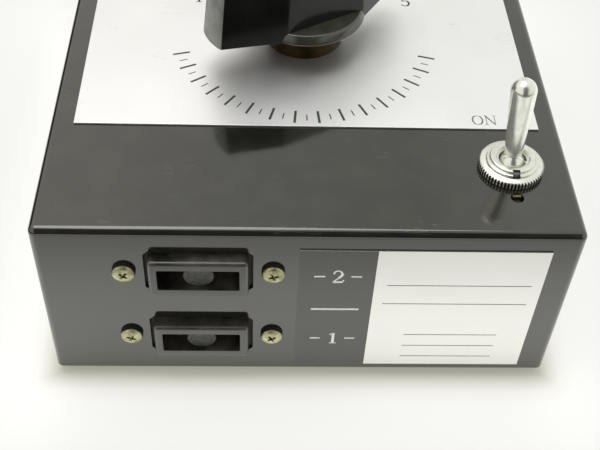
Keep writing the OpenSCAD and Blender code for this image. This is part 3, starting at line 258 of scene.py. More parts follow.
def turned(name: str, rings: Sequence[Ring], steps: int = 96, ends: Ends = Ends.CAPPED) -> Piece:
    """Turns a piece about +Z from rings, each pulled from the one before.

    Args:
        name: the piece's name.
        rings: radius and height of each ring in millimetres; a last radius of 0 closes to a point.
        steps: how many sides it has.
        ends: whether open ends are capped, or the last ring meets the first.

    Returns:
        The closed piece, at the origin.
    """
    radius, height = rings[0]
    bpy.ops.object.select_all(action="DESELECT")
    bpy.ops.mesh.primitive_circle_add(vertices=steps, radius=radius * MM, location=(0, 0, height * MM))
    obj = settled(name)
    with shaping(obj, Pick.EDGES):
        for next_radius, next_height in rings[1:]:
            pull(0, 0, next_height - height)
            if next_radius == 0:
                bpy.ops.mesh.merge(type="CENTER")
                break
            ratio = next_radius / radius
            swell(ratio, ratio, 1, Vector((0, 0, next_height)))
            radius, height = next_radius, next_height
        if ends is Ends.JOINED:
            bpy.ops.mesh.select_all(action="DESELECT")
            bpy.ops.mesh.select_non_manifold()
            bpy.ops.mesh.bridge_edge_loops()
        else:
            bpy.ops.mesh.select_all(action="SELECT")
            bpy.ops.mesh.fill_holes(sides=0)
        bpy.ops.mesh.select_all(action="SELECT")
        bpy.ops.mesh.normals_make_consistent(inside=False)
    return obj


def moved(obj: Piece, at: Numbers, turn: Numbers = (0, 0, 0)) -> Piece:
    """Turns a piece by degrees, moves it by millimetres and puts both into its mesh.

    Args:
        obj: the piece, at the origin.
        at: where its origin goes, in millimetres.
        turn: turns about X, Y and Z in degrees.

    Returns:
        The same piece.
    """
    lone(obj)
    obj.rotation_euler = [math.radians(a) for a in turn]
    obj.location = Vector(at) * MM
    bpy.ops.object.transform_apply(location=True, rotation=True, scale=True)
    return obj


def applied(obj: Piece, kind: str, **settings: object) -> Piece:
    """Gives a piece a modifier, sets it and applies it.

    Args:
        obj: the piece.
        kind: the modifier's type.
        settings: the modifier's own settings.

    Returns:
        The piece.
    """
    lone(obj)
    bpy.ops.object.modifier_add(type=kind)
    modifier = obj.modifiers[-1]
    for key, value in settings.items():
        setattr(modifier, key, value)
    bpy.ops.object.modifier_apply(modifier=modifier.name)
    return obj


def worked(obj: Piece, tool: Piece, how: Cut = Cut.AWAY) -> Piece:
    """Cuts one solid out of another, or adds it, and takes the tool away.

    Args:
        obj: the piece.
        tool: the solid it is worked with.
        how: whether the tool is cut away or added.

    Returns:
        The piece.
    """
    applied(obj, "BOOLEAN", operation=how.value, solver="EXACT", object=tool)
    bpy.data.objects.remove(tool, do_unlink=True)
    return obj


def eased(obj: Piece, width: float, segments: int = 2, angle: float = 30) -> Piece:
    """Rounds the edges that are sharper than an angle.

    Args:
        obj: the piece.
        width: width of the rounding in millimetres.
        segments: how many facets the rounding has.
        angle: the least angle in degrees.

    Returns:
        The piece.
    """
    limit = {"limit_method": "ANGLE", "angle_limit": math.radians(angle)}
    return applied(obj, "BEVEL", width=width * MM, segments=segments, **limit)


def bevelled(
    obj: Piece, test: Callable[[Vector, Vector], bool], width: float, segments: int, sharper: float = 0.0
) -> None:
    """Bevels the edges whose two ends, in millimetres, pass a test.

    Args:
        obj: the piece.
        test: takes an edge's two ends.
        width: the bevel's width in millimetres.
        segments: how many facets the bevel has.
        sharper: the least angle between the edge's faces, in degrees.
    """
    with shaping(obj, Pick.EDGES):
        pick_edges(obj, test, sharper)
        bpy.ops.mesh.bevel(offset=width * MM, segments=segments, affect="EDGES")


def polished(obj: Piece, angle: float = 40) -> Piece:
    """Shades a piece smooth up to an angle, with flat faces kept flat.

    Args:
        obj: the piece.
        angle: the sharpest edge that is still smooth, in degrees.

    Returns:
        The piece.
    """
    lone(obj)
    bpy.ops.object.shade_smooth_by_angle(angle=math.radians(angle))
    return applied(obj, "WEIGHTED_NORMAL", keep_sharp=True)


def copied(obj: Piece, name: str, by: Numbers) -> Piece:
    """Copies a piece with its own mesh and moves the copy by millimetres.

    Args:
        obj: the piece.
        name: the copy's name.
        by: how far the copy is moved.

    Returns:
        The copy.
    """
    lone(obj)
    bpy.ops.object.duplicate(linked=False)
    bpy.context.active_object.location = Vector(by) * MM
    return settled(name)


def joined(name: str, pieces: Sequence[Piece]) -> Piece:
    """Joins loose pieces into one object.

    Args:
        name: the joined object's name.
        pieces: what is joined.

    Returns:
        The joined object.
    """
    lone(pieces[0])
    for piece in pieces:
        piece.select_set(True)
    bpy.ops.object.join()
    return settled(name)


# ---- Finishes ----


def shade(red: float, green: float, blue: float) -> tuple[float, float, float, float]:
    """Turns a colour of 0 to 255 into the linear colour that a shader takes."""
    parts = [c / 255 / 12.92 if c <= 10.31 else ((c / 255 + 0.055) / 1.055) ** 2.4 for c in (red, green, blue)]
    return (*parts, 1.0)


class Bands(Enum):
    """Direction of a layered finish's lines."""

    ALONG_Y = "Y"
    ALONG_Z = "Z"


class Graph:
    """Adds and wires the nodes of one material or surround."""

    def __init__(self, tree: bpy.types.NodeTree) -> None:
        """Starts from a tree and its shader, where it has one.

        Args:
            tree: the node tree of a material or surround.
        """
        self.tree = tree
        self.shader = tree.nodes.get("Principled BSDF")
        place = tree.nodes.new("ShaderNodeTexCoord").outputs
        self.place, self.facing, self.sky = place["Object"], place["Normal"], place["Generated"]

    def add(self, kind: str, inputs: dict[str | int, object] | None = None, **settings: object) -> bpy.types.Node:
        """Adds a node, sets it and wires or fills its inputs.

        Args:
            kind: the node's type without its ShaderNode prefix.
            inputs: a value or an output for each named input.
            settings: the node's own settings.

        Returns:
            The node.
        """
        node = self.tree.nodes.new("ShaderNode" + kind)
        for key, value in settings.items():
            setattr(node, key, value)
        for key, value in (inputs or {}).items():
            if isinstance(value, Socket):
                self.tree.links.new(value, node.inputs[key])
            else:
                node.inputs[key].default_value = value
        return node

    def ramp(self, source: Socket, stops: Stops) -> Socket:
        """Spreads a value over colours or levels.

        Args:
            source: the value.
            stops: each stop's place and its colour, or its level as one number.

        Returns:
            The ramp's colour.
        """
        node = self.add("ValToRGB", {"Fac": source})
        bar = node.color_ramp
        while len(bar.elements) < len(stops):
            bar.elements.new(1.0)
        for element, (place, value) in zip(bar.elements, stops):
            element.position = place
            element.color = value if isinstance(value, tuple) else (value, value, value, 1.0)
        return node.outputs["Color"]

    def noise(self, scale: float, detail: float = 4.0, stretch: Numbers = (1, 1, 1), turn: float = 0.0) -> Socket:
        """Gives a noise pattern on the object's own coordinates.

        Args:
            scale: how fine it is, per metre.
            detail: how many finer layers it has.
            stretch: its scale along each axis.
            turn: its turn about Z in degrees.

        Returns:
            The pattern's value.
        """
        spread = self.add("Mapping", {"Vector": self.place, "Scale": stretch, "Rotation": (0, 0, math.radians(turn))})
        node = self.add("TexNoise", {"Vector": spread.outputs[0], "Scale": scale, "Detail": detail})
        return node.outputs[0]

    def mixed(self, amount: object, first: object, second: object, blend: str = "MIX") -> Socket:
        """Mixes two colours.

        Args:
            amount: how much of the second is in it.
            first: the first colour.
            second: the second colour.
            blend: how the two are mixed.

        Returns:
            The mixed colour.
        """
        node = self.add("Mix", data_type="RGBA", blend_type=blend)
        for index, value in ((0, amount), (6, first), (7, second)):
            if isinstance(value, Socket):
                self.tree.links.new(value, node.inputs[index])
            else:
                node.inputs[index].default_value = value
        return node.outputs[2]

    def number(self, operation: str, *values: object) -> Socket:
        """Works out one number from others."""
        return self.add("Math", dict(enumerate(values)), operation=operation).outputs[0]

    def times(self, first: object, second: object) -> Socket:
        """Multiplies two numbers."""
        return self.number("MULTIPLY", first, second)

    def most(self, first: object, second: object) -> Socket:
        """Gives the larger of two numbers."""
        return self.number("MAXIMUM", first, second)

    def level(self, source: Socket, low: float, high: float, start: float, end: float) -> Socket:
        """Maps a value smoothly from one level to another.

        Args:
            source: the value.
            low: the value at which the change starts.
            high: the value at which it ends.
            start: the level before it.
            end: the level after it.

        Returns:
            The level.
        """
        values = dict(enumerate((source, low, high, start, end)))
        return self.add("MapRange", values, interpolation_type="SMOOTHSTEP").outputs[0]


@dataclass(frozen=True)
class Finish:
    """One surface finish, with the fine variation that the real one shows."""

    name: str
    colour: Colour
    metallic: float = 0.0
    roughness: float = 0.4
    ior: float = 1.5
    spread: float = 0.06
    mottle: float = 0.12
    mottle_scale: float = 60.0
    grain: float = 0.1
    grain_scale: float = 2500.0
    grain_depth: float = 0.02
    dust: float = 0.0
    dust_colour: Colour = (150, 146, 132)
    scratches: float = 0.0
    bands: Bands | None = None
    band_pitch: float = 0.5
    band_depth: float = 0.05
    transmission: float = 0.0
    gleam: Colour = (1, 1, 1)

    def build(self) -> bpy.types.Material:
        """Makes the material from this finish's values.

        Returns:
            The material.
        """
        material = bpy.data.materials.new(self.name)
        material.use_nodes = True
        graph = Graph(material.node_tree)
        shader = graph.shader.inputs
        shader["Metallic"].default_value = self.metallic
        shader["IOR"].default_value = self.ior
        shader["Transmission Weight"].default_value = self.transmission
        shader["Specular Tint"].default_value = (*self.gleam, 1)
        clouds = graph.noise(self.mottle_scale, 5)
        dark = shade(*[c * (1 - self.mottle) for c in self.colour])
        light = shade(*[min(255, c * (1 + self.mottle)) for c in self.colour])
        colour = graph.ramp(clouds, [(0.3, dark), (0.7, light)])
        gloss = graph.ramp(
            graph.noise(self.mottle_scale * 1.7, 4),
            [(0.3, max(0.0, self.roughness - self.spread)), (0.7, min(1.0, self.roughness + self.spread))],
        )
        height = graph.noise(self.grain_scale, 3)
        upward = graph.most(graph.add("SeparateXYZ", {"Vector": graph.facing}).outputs[2], 0.04)
        if self.scratches:
            colour, gloss = self.scratched(graph, colour, gloss, upward)
        if self.dust:
            colour, gloss = self.dusted(graph, colour, gloss, upward)
        under = {}
        if self.bands:
            wave = graph.add(
                "TexWave",
                {"Vector": graph.place, "Scale": 0.314 / (self.band_pitch * MM), "Distortion": 0.0},
                bands_direction=self.bands.value,
            ).outputs["Fac"]
            colour = graph.mixed(graph.ramp(wave, [(0.0, 0.45), (0.4, 0.0)]), colour, (0, 0, 0, 1))
            ridge = graph.add("Bump", {"Strength": 0.6, "Distance": self.band_depth * MM, "Height": wave})
            under = {"Normal": ridge.outputs[0]}
        grain = {"Strength": self.grain, "Distance": self.grain_depth * MM, "Height": height}
        bump = graph.add("Bump", {**grain, **under})
        for source, socket in ((colour, "Base Color"), (gloss, "Roughness"), (bump.outputs[0], "Normal")):
            graph.tree.links.new(source, shader[socket])
        return material

    def scratched(self, graph: Graph, colour: Socket, gloss: Socket, upward: Socket) -> tuple[Socket, Socket]:
        """Lays fine scratches in three directions over the upward faces.

        Args:
            graph: the material's nodes.
            colour: the colour below.
            gloss: the roughness below.
            upward: how far a face looks up.

        Returns:
            The scratched colour and roughness.
        """
        for turn, long_scale in ((17, 60), (-48, 80), (81, 70)):
            hair = graph.ramp(
                graph.noise(1.0, 1, (long_scale, long_scale * 16, long_scale), turn),
                [(0.49, 0.0), (0.5, 1.0), (0.51, 0.0)],
            )
            gate = graph.ramp(graph.noise(long_scale * 1.3, 1), [(0.69, 0.0), (0.72, self.scratches)])
            line = graph.times(graph.times(hair, gate), upward)
            colour = graph.mixed(line, colour, shade(150, 148, 140))
            gloss = graph.mixed(line, gloss, (0.55, 0.55, 0.55, 1))
        return colour, gloss

    def dusted(self, graph: Graph, colour: Socket, gloss: Socket, upward: Socket) -> tuple[Socket, Socket]:
        """Settles a film of dust and a few specks on the upward faces.

        Args:
            graph: the material's nodes.
            colour: the colour below.
            gloss: the roughness below.
            upward: how far a face looks up.

        Returns:
            The dusty colour and roughness.
        """
        specks = graph.add("TexVoronoi", {"Vector": graph.place, "Scale": 900.0}).outputs["Distance"]
        few = graph.ramp(graph.noise(420, 2), [(0.6, 0.0), (0.66, 1.0)])
        speck = graph.times(graph.ramp(specks, [(0.1, 1.0), (0.16, 0.0)]), few)
        film = graph.ramp(graph.noise(120, 3), [(0.4, 0.0), (0.8, 0.3)])
        amount = graph.times(graph.times(graph.most(speck, film), self.dust), upward)
        return graph.mixed(amount, colour, shade(*self.dust_colour)), graph.mixed(amount, gloss, (0.8, 0.8, 0.8, 1))


FINISHES: dict[str, Finish] = {
    "case_paint": Finish(
        "gloss_black_enamel", (33, 33, 30), roughness=0.09, ior=1.85, spread=0.03, mottle=0.06, mottle_scale=25,
        grain=0.1, grain_scale=260, grain_depth=0.02, dust=0.18, scratches=0.4, gleam=(1, 1, 0.94),
    ),
    "cover_paint": Finish("satin_black_enamel", (40, 40, 42), roughness=0.4, grain_scale=1200, dust=0.3),
    "foot_rubber": Finish("foot_rubber", (40, 40, 39), roughness=0.75, grain=0.3, dust=0.5),
    "grommet_rubber": Finish("grommet_rubber", (34, 34, 34), roughness=0.6, grain=0.3, dust=0.3),
    "dial_silver": Finish(
        "satin_silver_plate", (238, 238, 237), metallic=0.86, roughness=0.42, spread=0.015, mottle=0.01, grain=0.05,
        grain_scale=3000, scratches=0.4, dust=0.1,
    ),
    "front_plate_print": Finish(
        "printed_silver_plate", (221, 221, 217), metallic=1, roughness=0.38, spread=0.005, mottle=0.004, grain=0.04,
    ),
    "outlet_plastic": Finish(
        "outlet_phenolic", (32, 32, 30), roughness=0.28, ior=1.8, gleam=(1, 1, 0.94), mottle=0.15, grain=0.25,
        grain_scale=1600, dust=1.4,
    ),
    "zinc_steel": Finish(
        "aged_zinc_steel", (167, 165, 130), metallic=1, roughness=0.44, spread=0.12, mottle=0.2, mottle_scale=700,
        grain=0.3, grain_scale=3000, dust=0.2, dust_colour=(120, 112, 70),
    ),
    "plated_steel": Finish("bright_plated_steel", (196, 196, 192), metallic=1, roughness=0.28, mottle=0.08),
    "frame_steel": Finish(
        "zinc_plated_sheet", (170, 168, 158), metallic=1, roughness=0.4, mottle=0.12, mottle_scale=180, scratches=0.3,
    ),
    "shaft_steel": Finish(
        "ground_shaft_steel", (186, 186, 182), metallic=1, roughness=0.22, bands=Bands.ALONG_Z, band_pitch=0.25,
        band_depth=0.004,
    ),
    "contact_brass": Finish("contact_brass", (206, 178, 108), metallic=1, roughness=0.28, mottle=0.1, mottle_scale=300),
    "fitting_brass": Finish(
        "fitting_brass", (128, 110, 80), metallic=1, roughness=0.48, spread=0.1, mottle=0.22, mottle_scale=500,
    ),
    # Aged brass, darkened further as painted shade for the nut in shadow under the knob.
    "nut_brass": Finish(
        "aged_and_shaded_nut_brass", (56, 46, 26), metallic=1, roughness=0.42, spread=0.08, mottle=0.16, mottle_scale=260,
    ),
    "knob_bakelite": Finish(
        "knob_bakelite", (14, 14, 13), roughness=0.16, ior=1.48, spread=0.04, mottle=0.1, grain=0.05, grain_scale=900,
        dust=0.6, scratches=0.3,
    ),
    "phenolic_brown": Finish("brown_phenolic", (118, 74, 42), roughness=0.45, mottle=0.2, mottle_scale=900),
    "toggle_bakelite": Finish("toggle_bakelite", (34, 29, 26), roughness=0.32, mottle=0.15),
    "chrome_plate": Finish(
        "chrome_plate", (234, 236, 226), metallic=0.75, roughness=0.2, spread=0.05, mottle=0.03, mottle_scale=500,
        grain=0.04, dust=0.14, dust_colour=(120, 104, 70),
    ),
    "core_steel": Finish(
        "core_laminations", (98, 94, 92), metallic=0.8, roughness=0.45, bands=Bands.ALONG_Z, band_pitch=0.5,
        band_depth=0.05, mottle=0.2,
    ),
    "bobbin_nylon": Finish("bobbin_nylon", (224, 218, 200), roughness=0.42, mottle=0.03),
    "winding_copper": Finish(
        "enamelled_copper", (176, 86, 42), metallic=0.7, roughness=0.3, bands=Bands.ALONG_Y, band_pitch=0.9,
        band_depth=0.2,
    ),
    "coil_tape": Finish(
        "coil_tape", (214, 188, 104), roughness=0.36, bands=Bands.ALONG_Y, band_pitch=9.0, band_depth=0.1,
        mottle=0.08,
    ),
    "fuse_plastic": Finish("fuse_holder_plastic", (28, 28, 28), roughness=0.28, dust=0.25),
    "fuse_glass": Finish("fuse_glass", (228, 232, 230), roughness=0.05, transmission=0.9, mottle=0.01),
    "lead_orange": Finish("orange_lead", (212, 98, 32), roughness=0.42, mottle=0.06),
    "lead_blue": Finish("blue_lead", (44, 76, 156), roughness=0.42, mottle=0.06),
}
PRINTS: dict[str, Finish] = {
    "dark_ink": Finish("dark_print", (52, 60, 60), roughness=0.5, mottle=0.2, mottle_scale=900),
    "grey_ink": Finish("grey_print", (112, 116, 112), roughness=0.5, mottle=0.2, mottle_scale=900),
    "white_ink": Finish("white_print", (226, 226, 221), metallic=0.7, roughness=0.4, mottle=0.03, mottle_scale=900),
    "worn_nickel": Finish("worn_nickel", (206, 205, 190), metallic=0.6, roughness=0.42, mottle=0.2, mottle_scale=700),
    "dusty_plastic": Finish(
        "dusty_phenolic", (70, 72, 67), roughness=0.5, mottle=0.3, mottle_scale=1500, grain=0.5, grain_scale=2200,
        grain_depth=0.05, dust=0.5,
    ),
    # painted highlight: a light grey copy of the knob's bakelite for the tail's end face
    "painted_highlight_bakelite": Finish("painted_highlight_bakelite", (136, 138, 131), roughness=0.34, ior=1.6, mottle=0.12, mottle_scale=200),
    # painted light: a lighter olive-grey copy of the knob's bakelite for the skirt
    "painted_light_skirt": Finish("painted_light_skirt", (58, 60, 50), roughness=0.16, ior=1.7, mottle=0.1, mottle_scale=200, dust=0.5),
    # painted shade: a dark olive coat for slot walls, knurl flanks, screw-head sides, the gap round the outlets and the
    # washer under the lid
    "slot_shade": Finish("painted_slot_shade", (44, 43, 30), metallic=0.3, roughness=0.6, mottle=0.2, mottle_scale=700),
    "black_field": Finish(
        "black_print", (34, 36, 32), roughness=0.12, ior=1.75, gleam=(1, 1, 0.94), spread=0.03, mottle=0.04,
        mottle_scale=60, grain=0.05, grain_scale=600,
    ),
}


class FinishShop:
    """Makes each finish once and dresses pieces with it."""

    def __init__(self) -> None:
        """Starts with no finish made."""
        self.made: dict[str, bpy.types.Material] = {}

    def coat(self, key: str) -> bpy.types.Material:
        """Gives a finish's material, made when it is first asked for.

        Args:
            key: the finish.

        Returns:
            Its material.
        """
        if key not in self.made:
            self.made[key] = (FINISHES.get(key) or PRINTS[key]).build()
        return self.made[key]

    def dress(self, obj: Piece, key: str, body: str, *nodes: str, slot: str | None = None) -> Piece:
        """Gives a new piece its finish, its body and the nodes it stands for.

        Args:
            obj: the finished piece.
            key: its finish.
            body: the body it rides on.
            nodes: the CAD nodes that it replaces.
            slot: the record's material slot, where it isn't the finish; not used.

        Returns:
            The piece.
        """
        obj.data.materials.clear()
        obj.data.materials.append(self.coat(key))
        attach(obj, body)
        if nodes:
            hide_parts(*nodes)
        log.info("%s: %d faces, %s, on %s", obj.name, len(obj.data.polygons), key, body)
        return obj

    def touch_up(
        self, obj: Piece, keys: Sequence[str], choose: Callable[[Vector, Vector], int], about: Numbers = (0, 0, 0)
    ) -> None:
        """Gives some faces of a dressed piece a further finish.

        Args:
            obj: the dressed piece.
            keys: the further finishes, numbered from 1.
            choose: takes a face's centre, in millimetres from a place, and its normal, and gives its number.
            about: that place in millimetres.
        """
        for key in keys:
            obj.data.materials.append(self.coat(key))
        for face in obj.data.polygons:
            face.material_index = choose(face.center / MM - Vector(about), face.normal)

    def dress_nodes(self) -> None:
        """Gives every carried-over node the finish of its slot."""
        for name, node in frame["nodes"].items():
            node.data.materials.clear()
            node.data.materials.append(self.coat(SUBPARTS[name]))


# ---- Studio ----


@dataclass
class Studio:
    """The camera, the pale floor, the surround and the lamp."""

    eye: Numbers = (-13.63, -251.89, 243.49)
    pitch: float = 46.926
    yaw: float = 3.633
    roll: float = -3.262
    lens: float = 60.58
    lamp_at: Numbers = (-140.0, 160.0, 1050.0)
    lamp_size: tuple[float, float] = (0.8, 0.6)
    lamp_power: float = 4.3
    lamp_aim: Numbers = (0.0, 0.0, 60.0)
    floor_size: float = 8000.0
    floor_drop: float = 0.2
    surround: float = 0.5
    backdrop: float = 0.97
    half_w: float = 70.0
    half_d: float = 80.0
    middle_y: float = -3.5

    ROOM: ClassVar[Stops] = [
        (0.33, (1.03, 1.0, 0.955, 1)), (0.42, (0.9, 0.885, 0.85, 1)), (0.52, (0.8, 0.795, 0.76, 1)),
        (0.66, (0.715, 0.72, 0.68, 1)), (0.72, (0.84, 0.845, 0.805, 1)), (0.8, (0.93, 0.945, 0.9, 1)),
    ]
    # Painted floor shadow and glow: emission dark at the box's foot, a bright halo a little way out, plain further off.
    FLOOR_SHADOW_GLOW: ClassVar[Stops] = [
        (0.0, (0.26, 0.26, 0.2, 1)), (0.03, (0.46, 0.46, 0.4, 1)), (0.06, (0.6, 0.6, 0.56, 1)),
        (0.1, (0.62, 0.62, 0.6, 1)), (0.3, (0.49, 0.49, 0.475, 1)), (0.7, (0.41, 0.41, 0.4, 1)),
        (1.0, (0.38, 0.38, 0.37, 1)),
    ]

    def build(self) -> None:
        """Sets up everything that isn't part of the object."""
        scene = bpy.context.scene
        scene.view_settings.view_transform = "Standard"
        self.camera(scene)
        self.world(scene)
        self.floor()
        self.lamp()

    def camera(self, scene: bpy.types.Scene) -> None:
        """Places the camera above the front, looking down at the dial and the outlets.

        Args:
            scene: the scene that it is made for.
        """
        pitch, yaw, roll = (math.radians(a) for a in (self.pitch, self.yaw, self.roll))
        ahead = Vector((math.sin(yaw) * math.cos(pitch), math.cos(yaw) * math.cos(pitch), -math.sin(pitch)))
        level = Vector((math.cos(yaw), -math.sin(yaw), 0))
        down = ahead.cross(level)
        right = level * math.cos(roll) + down * math.sin(roll)
        up = level * math.sin(roll) - down * math.cos(roll)
        data = bpy.data.cameras.new("bench_camera")
        data.lens, data.sensor_width, data.clip_start = self.lens, 36.0, 0.01
        camera = bpy.data.objects.new("bench_camera", data)
        scene.collection.objects.link(camera)
        turn = Matrix((right, up, -ahead)).transposed().to_4x4()
        camera.matrix_world = Matrix.Translation(Vector(self.eye) * MM) @ turn
        scene.camera = camera

    def world(self, scene: bpy.types.Scene) -> None:
        """Makes a white surround, with the dim side of the room in front for reflections.

        Args:
            scene: the scene that it is made for.
        """
        world = bpy.data.worlds.new("bench_surround")
        scene.world = world
        world.use_nodes = True
        world.node_tree.nodes.clear()
        graph = Graph(world.node_tree)
        x, y, z = graph.add("SeparateXYZ", {"Vector": graph.sky}).outputs
        across = graph.number("ADD", x, 0.5)
        middle = graph.times(graph.level(across, 0.08, 0.3, 0, 1), graph.level(x, 0.26, 0.6, 1, 0))
        above = graph.times(graph.level(z, 0.9, 0.98, 1, 0), middle)
        in_front = graph.times(graph.level(y, -0.5, -0.12, 1, 0), above)
        left = graph.times(graph.level(z, 0.22, 0.4, 1, 0), graph.level(x, -0.35, -0.15, 1, 0))
        left_behind = graph.times(graph.level(y, 0.0, 0.2, 0, 1), left)
        bright = graph.ramp(across, self.ROOM)
        seen = graph.mixed(graph.most(in_front, left_behind), bright, (0.04, 0.04, 0.04, 1))
        path = graph.add("LightPath").outputs
        mirror = graph.most(path["Is Glossy Ray"], path["Is Transmission Ray"])
        plain = (self.surround, self.surround, self.surround * 0.985, 1)
        backdrop = (self.backdrop, self.backdrop, self.backdrop * 0.985, 1)
        shown = graph.mixed(path["Is Camera Ray"], graph.mixed(mirror, plain, seen), backdrop)
        sky = graph.add("Background", {"Color": shown})
        graph.add("OutputWorld", {"Surface": sky.outputs[0]})

    def floor(self) -> None:
        """Lays the pale floor, a little lighter where the camera or a reflection sees it, with a painted shadow and
        glow round the box.
        """
        bpy.ops.object.select_all(action="DESELECT")
        bpy.ops.mesh.primitive_plane_add(size=self.floor_size * MM, location=vec(0, 0, -self.floor_drop))
        floor = settled("floor")
        material = bpy.data.materials.new("pale_floor")
        material.use_nodes = True
        graph = Graph(material.node_tree)
        inputs = graph.shader.inputs
        inputs["Roughness"].default_value = 0.9
        inputs["Specular IOR Level"].default_value = 0.1
        x, y, _ = graph.add("SeparateXYZ", {"Vector": graph.place}).outputs
        beside = graph.most(graph.number("SUBTRACT", graph.number("ABSOLUTE", x), self.half_w * MM), 0.0)
        along = graph.number("ABSOLUTE", graph.number("ADD", y, -self.middle_y * MM))
        ahead = graph.most(graph.number("SUBTRACT", along, self.half_d * MM), 0.0)
        squares = graph.number("MULTIPLY_ADD", beside, beside, graph.times(ahead, ahead))
        away = graph.times(graph.number("SQRT", squares), 10.0)
        # painted shadow: a flat darker value behind the box
        behind = graph.times(graph.level(y, 0.074, 0.082, 0, 1), graph.level(beside, 0.0, 0.03, 1, 0))
        shadow_glow = graph.mixed(behind, graph.ramp(away, self.FLOOR_SHADOW_GLOW), (0.38, 0.38, 0.37, 1))
        path = graph.add("LightPath").outputs
        # painted reflection: reflections see a dark band in front of the box and dark floor beyond the far front and
        # left, and a painted lift further off
        near = graph.times(graph.level(y, -0.15, -0.11, 0.45, 0), graph.level(y, -0.24, -0.18, 0, 1))
        ends = graph.most(graph.level(y, -0.4, -0.29, 1, 0), graph.level(x, -0.28, -0.16, 1, 0))
        painted_dark_reflection = graph.times(graph.most(near, ends), path["Is Glossy Ray"])
        lifted = graph.mixed(graph.level(away, 0.0, 0.2, 0.5, 1.0), shadow_glow, (0.42, 0.42, 0.4, 1), "ADD")
        bright = graph.mixed(path["Is Glossy Ray"], shadow_glow, lifted)
        seen = graph.most(path["Is Camera Ray"], path["Is Glossy Ray"])
        for source, socket in (
            (graph.mixed(painted_dark_reflection, (0.6, 0.6, 0.585, 1), (0.02, 0.02, 0.02, 1)), "Base Color"),
            (graph.mixed(painted_dark_reflection, bright, (0, 0, 0, 1)), "Emission Color"),
            (seen, "Emission Strength"),
        ):
            graph.tree.links.new(source, inputs[socket])
        floor.data.materials.append(material)

    def lamp(self) -> None:
        """Hangs one soft lamp high over the left."""
        data = bpy.data.lights.new("soft_lamp", "AREA")
        data.shape, data.size, data.size_y = "RECTANGLE", *self.lamp_size
        data.energy = self.lamp_power
        lamp = bpy.data.objects.new("soft_lamp", data)
        bpy.context.scene.collection.objects.link(lamp)
        lamp.location = Vector(self.lamp_at) * MM
        lamp.rotation_mode = "QUATERNION"
        lamp.rotation_quaternion = (lamp.location - Vector(self.lamp_aim) * MM).to_track_quat("Z", "Y")


# ---- The case ----


